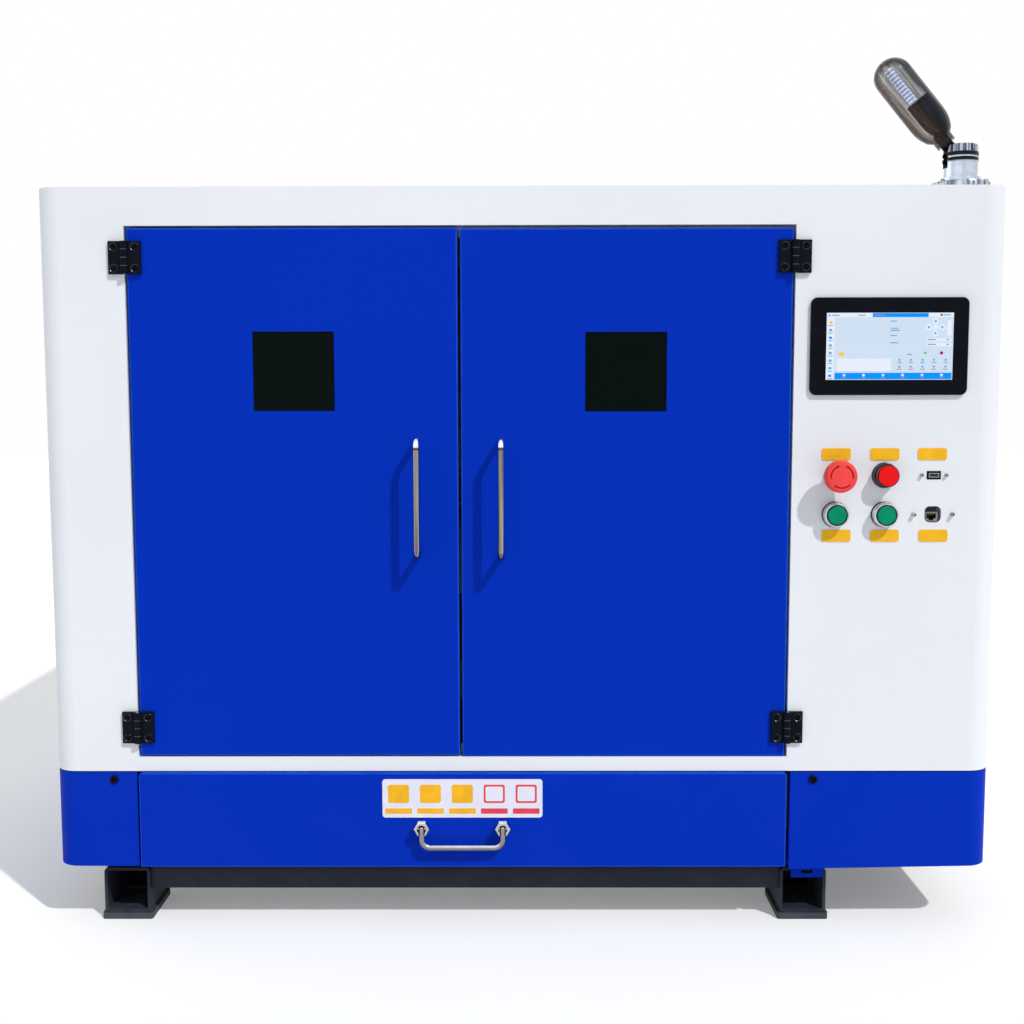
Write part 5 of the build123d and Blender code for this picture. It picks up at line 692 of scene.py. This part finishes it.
def screen_layout():
    """Generic control page: bars, list, drawing area, jog pad and key grid, with no words."""
    low, high = low_high("display_screen")
    width, height = high.x - low.x, high.z - low.z
    front = low.y
    order = ["ui_blue", "ui_pale", "ui_white", "ui_grey", "ui_green", "ui_red", "ui_yellow", "ui_sky"]
    mesh = bmesh.new()

    def field(u0, v0, u1, v1, tone, layer, radius=0.4):
        rounded_plate(mesh, low.x + width * (u0 + u1) / 2, high.z - height * (v0 + v1) / 2,
                      width * (u1 - u0), height * (v1 - v0), radius, front - 0.01,
                      front - 0.05 * layer - 0.02, order.index(tone), 3, 0.02)

    def dot(u, v, size, tone, layer=3):
        half_u = size / 2
        half_v = half_u * width / height
        field(u - half_u, v - half_v, u + half_u, v + half_v, tone, layer, size * width / 2 - 0.01)

    field(0.004, 0.006, 0.996, 0.994, "ui_pale", 1)
    field(0.004, 0.006, 0.062, 0.994, "ui_white", 2, 0.2)
    field(0.064, 0.006, 0.36, 0.066, "ui_white", 2, 0.2)
    field(0.362, 0.006, 0.80, 0.066, "ui_blue", 2, 0.2)
    field(0.802, 0.006, 0.996, 0.066, "ui_white", 2, 0.2)
    field(0.37, 0.032, 0.46, 0.044, "ui_grey", 3, 0.2)
    field(0.04, 0.032, 0.10, 0.046, "ui_grey", 3, 0.2)
    field(0.245, 0.032, 0.305, 0.046, "ui_grey", 3, 0.2)
    field(0.915, 0.028, 0.975, 0.042, "ui_grey", 3, 0.2)
    dot(0.022, 0.038, 0.014, "ui_blue")
    dot(0.902, 0.034, 0.018, "ui_red")
    field(0.07, 0.895, 0.994, 0.992, "ui_blue", 2, 0.2)
    for k, tone in enumerate(("ui_pale", "ui_white", "ui_pale", "ui_white", "ui_pale", "ui_white")):
        dot(0.145 + k * 0.154, 0.930, 0.022, tone)
        field(0.130 + k * 0.154, 0.962, 0.160 + k * 0.154, 0.972, "ui_grey", 3, 0.1)
    tones = ("ui_yellow", "ui_sky", "ui_blue", "ui_sky", "ui_sky", "ui_sky", "ui_sky", "ui_blue")
    for k, tone in enumerate(tones):
        v = 0.143 + k * 0.1135
        field(0.020, v - 0.016, 0.045, v + 0.020, tone, 3, 0.9)
        field(0.014, v + 0.040, 0.052, v + 0.052, "ui_grey", 3, 0.2)
    for u0, v0, u1, v1 in ((0.09, 0.09, 0.485, 0.52), (0.49, 0.09, 0.765, 0.52), (0.09, 0.55, 0.49, 0.66)):
        field(u0, v0, u1, v1, "ui_pale", 2, 0.6)
    for k, v in enumerate((0.117, 0.225, 0.258, 0.333, 0.440)):
        field(0.503, v, 0.553 + 0.012 * (k % 3), v + 0.015, "ui_grey" if k == 2 else "ui_sky", 3, 0.2)
    field(0.09, 0.528, 0.745, 0.533, "ui_white", 2, 0.1)
    field(0.10, 0.590, 0.140, 0.642, "ui_yellow", 3, 1.6)
    field(0.085, 0.684, 0.515, 0.868, "ui_white", 2, 0.8)
    for u, v in ((0.857, 0.128), (0.857, 0.306), (0.804, 0.217), (0.910, 0.217)):
        dot(u, v, 0.052, "ui_white", 2)
        dot(u, v, 0.020, "ui_sky")
    dot(0.857, 0.217, 0.040, "ui_white", 2)
    field(0.950, 0.110, 0.985, 0.345, "ui_white", 2, 2.4)
    for v in (0.395, 0.465):
        field(0.790, v - 0.014, 0.985, v + 0.036, "ui_white", 2, 0.6)
        field(0.800, v, 0.862, v + 0.016, "ui_grey", 3, 0.2)
        field(0.945, v, 0.968, v + 0.016, "ui_grey", 3, 0.2)
    field(0.640, 0.612, 0.674, 0.630, "ui_grey", 3, 0.2)
    dot(0.782, 0.600, 0.021, "ui_green")
    dot(0.910, 0.600, 0.027, "ui_red")
    for column, u in enumerate((0.580, 0.670, 0.762, 0.852, 0.944)):
        for row, v in enumerate((0.706, 0.806)):
            field(u - 0.036, v - 0.030, u + 0.036, v + 0.058, "ui_pale", 2, 0.8)
            dot(u, v - 0.002, 0.018, "ui_grey" if (column + row) % 3 == 1 else "ui_sky")
            field(u - 0.018, v + 0.030, u + 0.018, v + 0.043, "ui_grey", 3, 0.2)
    piece("screen_layout", mesh, "root", [EXTRA[o] for o in order])


def plaque_fields():
    """Plain colour fields on the bare plaque: five upper fields and five bars under them."""
    low, high = low_high("drawer_plaque")
    mesh = bmesh.new()
    for k in range(5):
        x = low.x + 20.5 + k * 40.7
        red = k > 2
        outer, inner = (1, 2) if red else (0, 0)
        back, front = low.y + 0.02, low.y - 0.10
        rounded_plate(mesh, x, high.z - 19.0, 27.0, 24.0, 3.0, back, front, outer, 4, 0.05)
        rounded_plate(mesh, x, high.z - 19.0, 22.0, 19.0, 2.0, low.y - 0.05, low.y - 0.16, inner, 4, 0.05)
        rounded_plate(mesh, x, high.z - 41.5, 34.0, 7.0, 0.6, back, front, outer, 4, 0.05)
    tones = [MATERIALS["label_yellow"], EXTRA["field_red"], MATERIALS["plaque_white"]]
    piece("plaque_fields", mesh, "drawer", tones)


def arc_band(mesh, x, z, inner, outer, start, end, y0, y1, steps=18):
    """A flat band along part of a circle round x, z; angles in degrees."""
    rings = []
    for k in range(steps + 1):
        angle = math.radians(start + (end - start) * k / steps)
        ring = [(r * math.cos(angle), y, r * math.sin(angle)) for r, y in
                ((inner, y0), (inner, y1), (outer, y1), (outer, y0))]
        rings.append([mesh.verts.new((x + a, y, z + b)) for a, y, b in ring])
    for a, b in zip(rings, rings[1:]):
        for k in range(4):
            n = (k + 1) % 4
            mesh.faces.new((a[k], b[k], b[n], a[n]))
    mesh.faces.new(list(reversed(rings[0])))
    mesh.faces.new(rings[-1])


def stop_arrows():
    """Three dark turning arrows in the ring groove of the emergency stop, with red fills between."""
    x, z = STOP_PLACE
    back = STOP_FACE + 0.2
    arrows = bmesh.new()
    for start, end, tip in ((112.0, 188.0, 112.0), (-8.0, 62.0, 62.0), (236.0, 316.0, 236.0)):
        arc_band(arrows, x, z, 12.9, 14.5, start, end, back, STOP_FACE - 0.05)
        arc_band(arrows, x, z, 12.2, 15.2, tip - 5, tip + 5, back, STOP_FACE - 1.0, 3)
    fills = bmesh.new()
    for start, end in ((62.0, 112.0), (188.0, 236.0), (316.0, 352.0)):
        arc_band(fills, x, z, 12.7, 14.6, start, end, back, STOP_FACE - 0.85)
    bmesh.ops.recalc_face_normals(arrows, faces=arrows.faces)
    bmesh.ops.recalc_face_normals(fills, faces=fills.faces)
    piece("stop_arrows", arrows, "stop_head", EXTRA["stop_dark"])
    piece("stop_ring_fills", fills, "stop_head", MATERIALS["signal_red"])


def control_rings():
    """Black rings between the caps and their bright rings, and the dark foot gaskets."""
    ring = [(11.95, 13.6), (11.95, 14.55), (12.2, 14.75), (13.0, 14.75), (13.25, 14.5), (13.25, 13.6)]
    gasket = [(15.2, 0.05), (16.1, 0.05), (16.15, 0.5), (15.9, 0.9), (15.2, 0.9)]
    mesh = bmesh.new()
    for x, z in BUTTON_PLACES:
        lathe(mesh, ring, facing(x, z), 72)
    for x, z in (*BUTTON_PLACES, PILOT_PLACE):
        lathe(mesh, gasket, facing(x, z), 72)
    bmesh.ops.recalc_face_normals(mesh, faces=mesh.faces)
    piece("control_rings", mesh, "root", MATERIALS["black_matte"], 40)


def block(mesh, low, high, index=0):
    """A plain block with its corners at low and high."""
    made = [mesh.verts.new((x, y, z)) for z in (low[2], high[2]) for y in (low[1], high[1])
            for x in (low[0], high[0])]
    for face in ((0, 2, 3, 1), (4, 5, 7, 6), (0, 1, 5, 4), (2, 6, 7, 3), (0, 4, 6, 2), (1, 3, 7, 5)):
        mesh.faces.new([made[k] for k in face]).material_index = index


def port_details():
    """Metal shell and contacts of the memory socket, contact springs of the network jack."""
    mesh = bmesh.new()
    x, z = SOCKET_X, PILOT_PLACE[1]
    wall, half, tall, side = 0.4, 6.2, 2.55, 2.1
    walls = (((x - half, z - tall), (x + half, z - tall + wall)),
             ((x - half, z + tall - wall), (x + half, z + tall)),
             ((x - half, z - side), (x - half + wall, z + side)),
             ((x + half - wall, z - side), (x + half, z + side)))
    for low, high in walls:
        block(mesh, (low[0], -500.9, low[1]), (high[0], -488.0, high[1]))
    block(mesh, (x - 5.0, -499.2, z + 0.05), (x + 5.0, -487.0, z + 0.19), 1)
    for k in range(4):
        middle = x - 3.5 + k * 2.33
        block(mesh, (middle - 0.5, -499.0, z - 0.12), (middle + 0.5, -488.5, z + 0.04), 2)
    tones = [EXTRA["silver"], EXTRA["port_white"], EXTRA["gold"]]
    piece("memory_port_shell", mesh, "root", tones)
    mesh = bmesh.new()
    middle = SOCKET_X - 1.5
    low_z = BUTTON_PLACES[0][1]
    for k in range(8):
        px = middle - 3.57 + k * 1.02
        block(mesh, (px - 0.22, -497.4, low_z + 0.75), (px + 0.22, -484.0, low_z + 1.15))
        block(mesh, (px - 0.22, -497.6, low_z - 1.2), (px + 0.22, -497.2, low_z + 1.15))
    piece("network_contacts", mesh, "root", EXTRA["shaded_gold"])


def hinge_details():
    """Cup rims round the sunk hinge screws and the washers between the knuckles."""
    low, high = low_high("hinge_pins")
    rims = {"root": bmesh.new(), "door_left": bmesh.new(), "door_right": bmesh.new()}
    cup = [(3.95, 4.7), (5.2, 4.7), (5.2, 5.5), (5.05, 5.62), (4.05, 5.02), (3.95, 4.9), (3.95, 4.7)]
    washer = [(4.4, -0.32), (5.14, -0.32), (5.14, 0.32), (4.4, 0.32), (4.4, -0.32)]
    for x, side in ((low.x + 2, 1), (high.x - 2, -1)):
        door = "door_left" if side > 0 else "door_right"
        for z in (low.z + 20, high.z - 20):
            for body, way in ((door, side), ("root", -side)):
                for dz in (-13.0, 13.0):
                    lathe(rims[body], cup, facing(x + way * 13.0, z + dz), 36)
            for k in (-1, 0, 1):
                lathe(rims["root"], washer, standing(x, FRONT - 5, z + 10 * k), 28, 1)
    tones = [EXTRA["worn_black"], EXTRA["worn_steel"]]
    for body, mesh in rims.items():
        bmesh.ops.recalc_face_normals(mesh, faces=mesh.faces)
        piece(f"hinge_rims_{body}", mesh, body, tones, 40)


def weld_bead(mesh, x, z, y0, y1, radius, side):
    """A rippled weld bead along Y in the corner beside x, z."""
    steps = int((y1 - y0) / 1.1)
    rings = []
    for k in range(steps + 1):
        swell = radius * (0.86 + 0.14 * abs(math.sin(k * 0.95)) + random.uniform(-0.04, 0.04))
        if k in (0, steps):
            swell *= 0.4
        ring = []
        for n in range(6):
            angle = math.radians(-20 + 130 * n / 5)
            ring.append(mesh.verts.new((x + side * swell * math.cos(angle), y0 + (y1 - y0) * k / steps,
                                        z + swell * math.sin(angle))))
        rings.append(ring)
    for a, b in zip(rings, rings[1:]):
        for n in range(5):
            mesh.faces.new((a[n], a[n + 1], b[n + 1], b[n]))


def foot_lefts():
    """Left edges in millimetres of the foot tubes on both sides."""
    low, high = low_high("feet")
    return low.x + FOOT_MARGIN, high.x - FOOT_MARGIN - FOOT_TUBE


def foot_welds():
    """Weld beads between the foot tubes and their plates."""
    low, high = low_high("feet")
    mesh = bmesh.new()
    for left in foot_lefts():
        for y in (low.y + FOOT_MARGIN, high.y - FOOT_MARGIN - FOOT_LENGTH):
            for x, side in ((left + 1.0, -1), (left + FOOT_TUBE - 1.0, 1)):
                weld_bead(mesh, x - side * 1.6, 8.2, y + 1, y + FOOT_LENGTH - 1, 3.2, side)
    bmesh.ops.recalc_face_normals(mesh, faces=mesh.faces)
    piece("foot_welds", mesh, "root", MATERIALS["frame_grey"], 50)


def foot_shade_caps():
    """Thin black caps with a rounded rim that close the inner ends of the foot tubes, put there as painted
    shade for the dark seen through them.
    """
    low, high = low_high("feet")
    reach = FOOT_MARGIN + FOOT_LENGTH
    layers = ((25.6, 1.0), (25.6, 3.4), (24.6, 4.4), (20.0, 4.4), (19.0, 3.6))
    mesh = bmesh.new()
    for left in foot_lefts():
        x = left + FOOT_TUBE / 2
        for end, inward in ((low.y + reach, -1), (high.y - reach, 1)):
            rings = []
            for half, depth in layers:
                y = end + inward * depth
                rings.append([mesh.verts.new((x + i * half, y, FOOT_MIDDLE_Z + k * half))
                              for i, k in ((-1, -1), (1, -1), (1, 1), (-1, 1))])
            for a, b in zip(rings, rings[1:]):
                for n in range(4):
                    mesh.faces.new((a[n], a[(n + 1) % 4], b[(n + 1) % 4], b[n]))
            mesh.faces.new(rings[0])
            mesh.faces.new(rings[-1][::-1])
    bmesh.ops.recalc_face_normals(mesh, faces=mesh.faces)
    # Black caps: painted shade seen through the foot tubes
    piece("foot_shade_caps", mesh, "root", MATERIALS["black_matte"])


def window_frames():
    """Retaining frame with its screws behind each door window."""
    button_head = [(0.0, 1.6), (1.6, 1.5), (2.9, 0.9), (3.3, -0.1)]
    for side in ("left", "right"):
        low, high = low_high(f"door_{side}_window")
        mesh = bmesh.new()
        y0, y1 = high.y, high.y + 2.2
        edge = 13.5
        strips = (((low.x - 2, low.z - 2), (high.x + 2, low.z + edge)),
                  ((low.x - 2, high.z - edge), (high.x + 2, high.z + 2)),
                  ((low.x - 2, low.z + edge), (low.x + edge, high.z - edge)),
                  ((high.x - edge, low.z + edge), (high.x + 2, high.z - edge)))
        for a, b in strips:
            block(mesh, (a[0], y0, a[1]), (b[0], y1, b[1]))
        middle_x, middle_z = (low.x + high.x) / 2, (low.z + high.z) / 2
        for x in (low.x + 5, middle_x, high.x - 5):
            for z in (low.z + 5, middle_z, high.z - 5):
                if x != middle_x or z != middle_z:
                    lathe(mesh, button_head, behind(x, y1, z), 20, 1)
        bmesh.ops.recalc_face_normals(mesh, faces=mesh.faces)
        piece(f"window_frame_{side}", mesh, f"door_{side}",
              [MATERIALS["black_matte"], MATERIALS["bright_steel"]])


def make_floor():
    """Plain pale floor; its glow shows to the camera, gloss and glass only, so shadows stay."""
    mesh = bmesh.new()
    bmesh.ops.create_grid(mesh, x_segments=1, y_segments=1, size=FLOOR_SIZE)
    data = bpy.data.meshes.new("floor")
    mesh.to_mesh(data)
    mesh.free()
    floor = bpy.data.objects.new("floor", data)
    floor.location.z = -FLOOR_DROP
    bpy.context.scene.collection.objects.link(floor)
    t = Tree("floor_pale")
    base = t.mixed(t.span(t.noise(1.2, 3.0), 0.3, 0.7), (0.90, 0.91, 0.92), (0.93, 0.935, 0.94))
    t.set(Roughness=0.85, Specular_IOR_Level=0.1)
    t.link(base, t.shader.inputs["Base Color"])
    path = t.node("LightPath")
    seen = t.math("MAXIMUM", path.outputs["Is Glossy Ray"], path.outputs["Is Transmission Ray"])
    seen = t.math("MAXIMUM", seen, path.outputs["Is Camera Ray"])
    t.link(base, t.shader.inputs["Emission Color"])
    t.link(t.math("MULTIPLY", seen, FLOOR_GLOW), t.shader.inputs["Emission Strength"])
    data.materials.append(t.material)


coat_nodes()
make_camera()
make_world()
make_lights()
make_floor()
bpy.context.scene.view_settings.view_transform = "Standard"
screen_layout()
plaque_fields()
stop_arrows()
control_rings()
port_details()
foot_welds()
foot_shade_caps()
window_frames()
hinge_details()
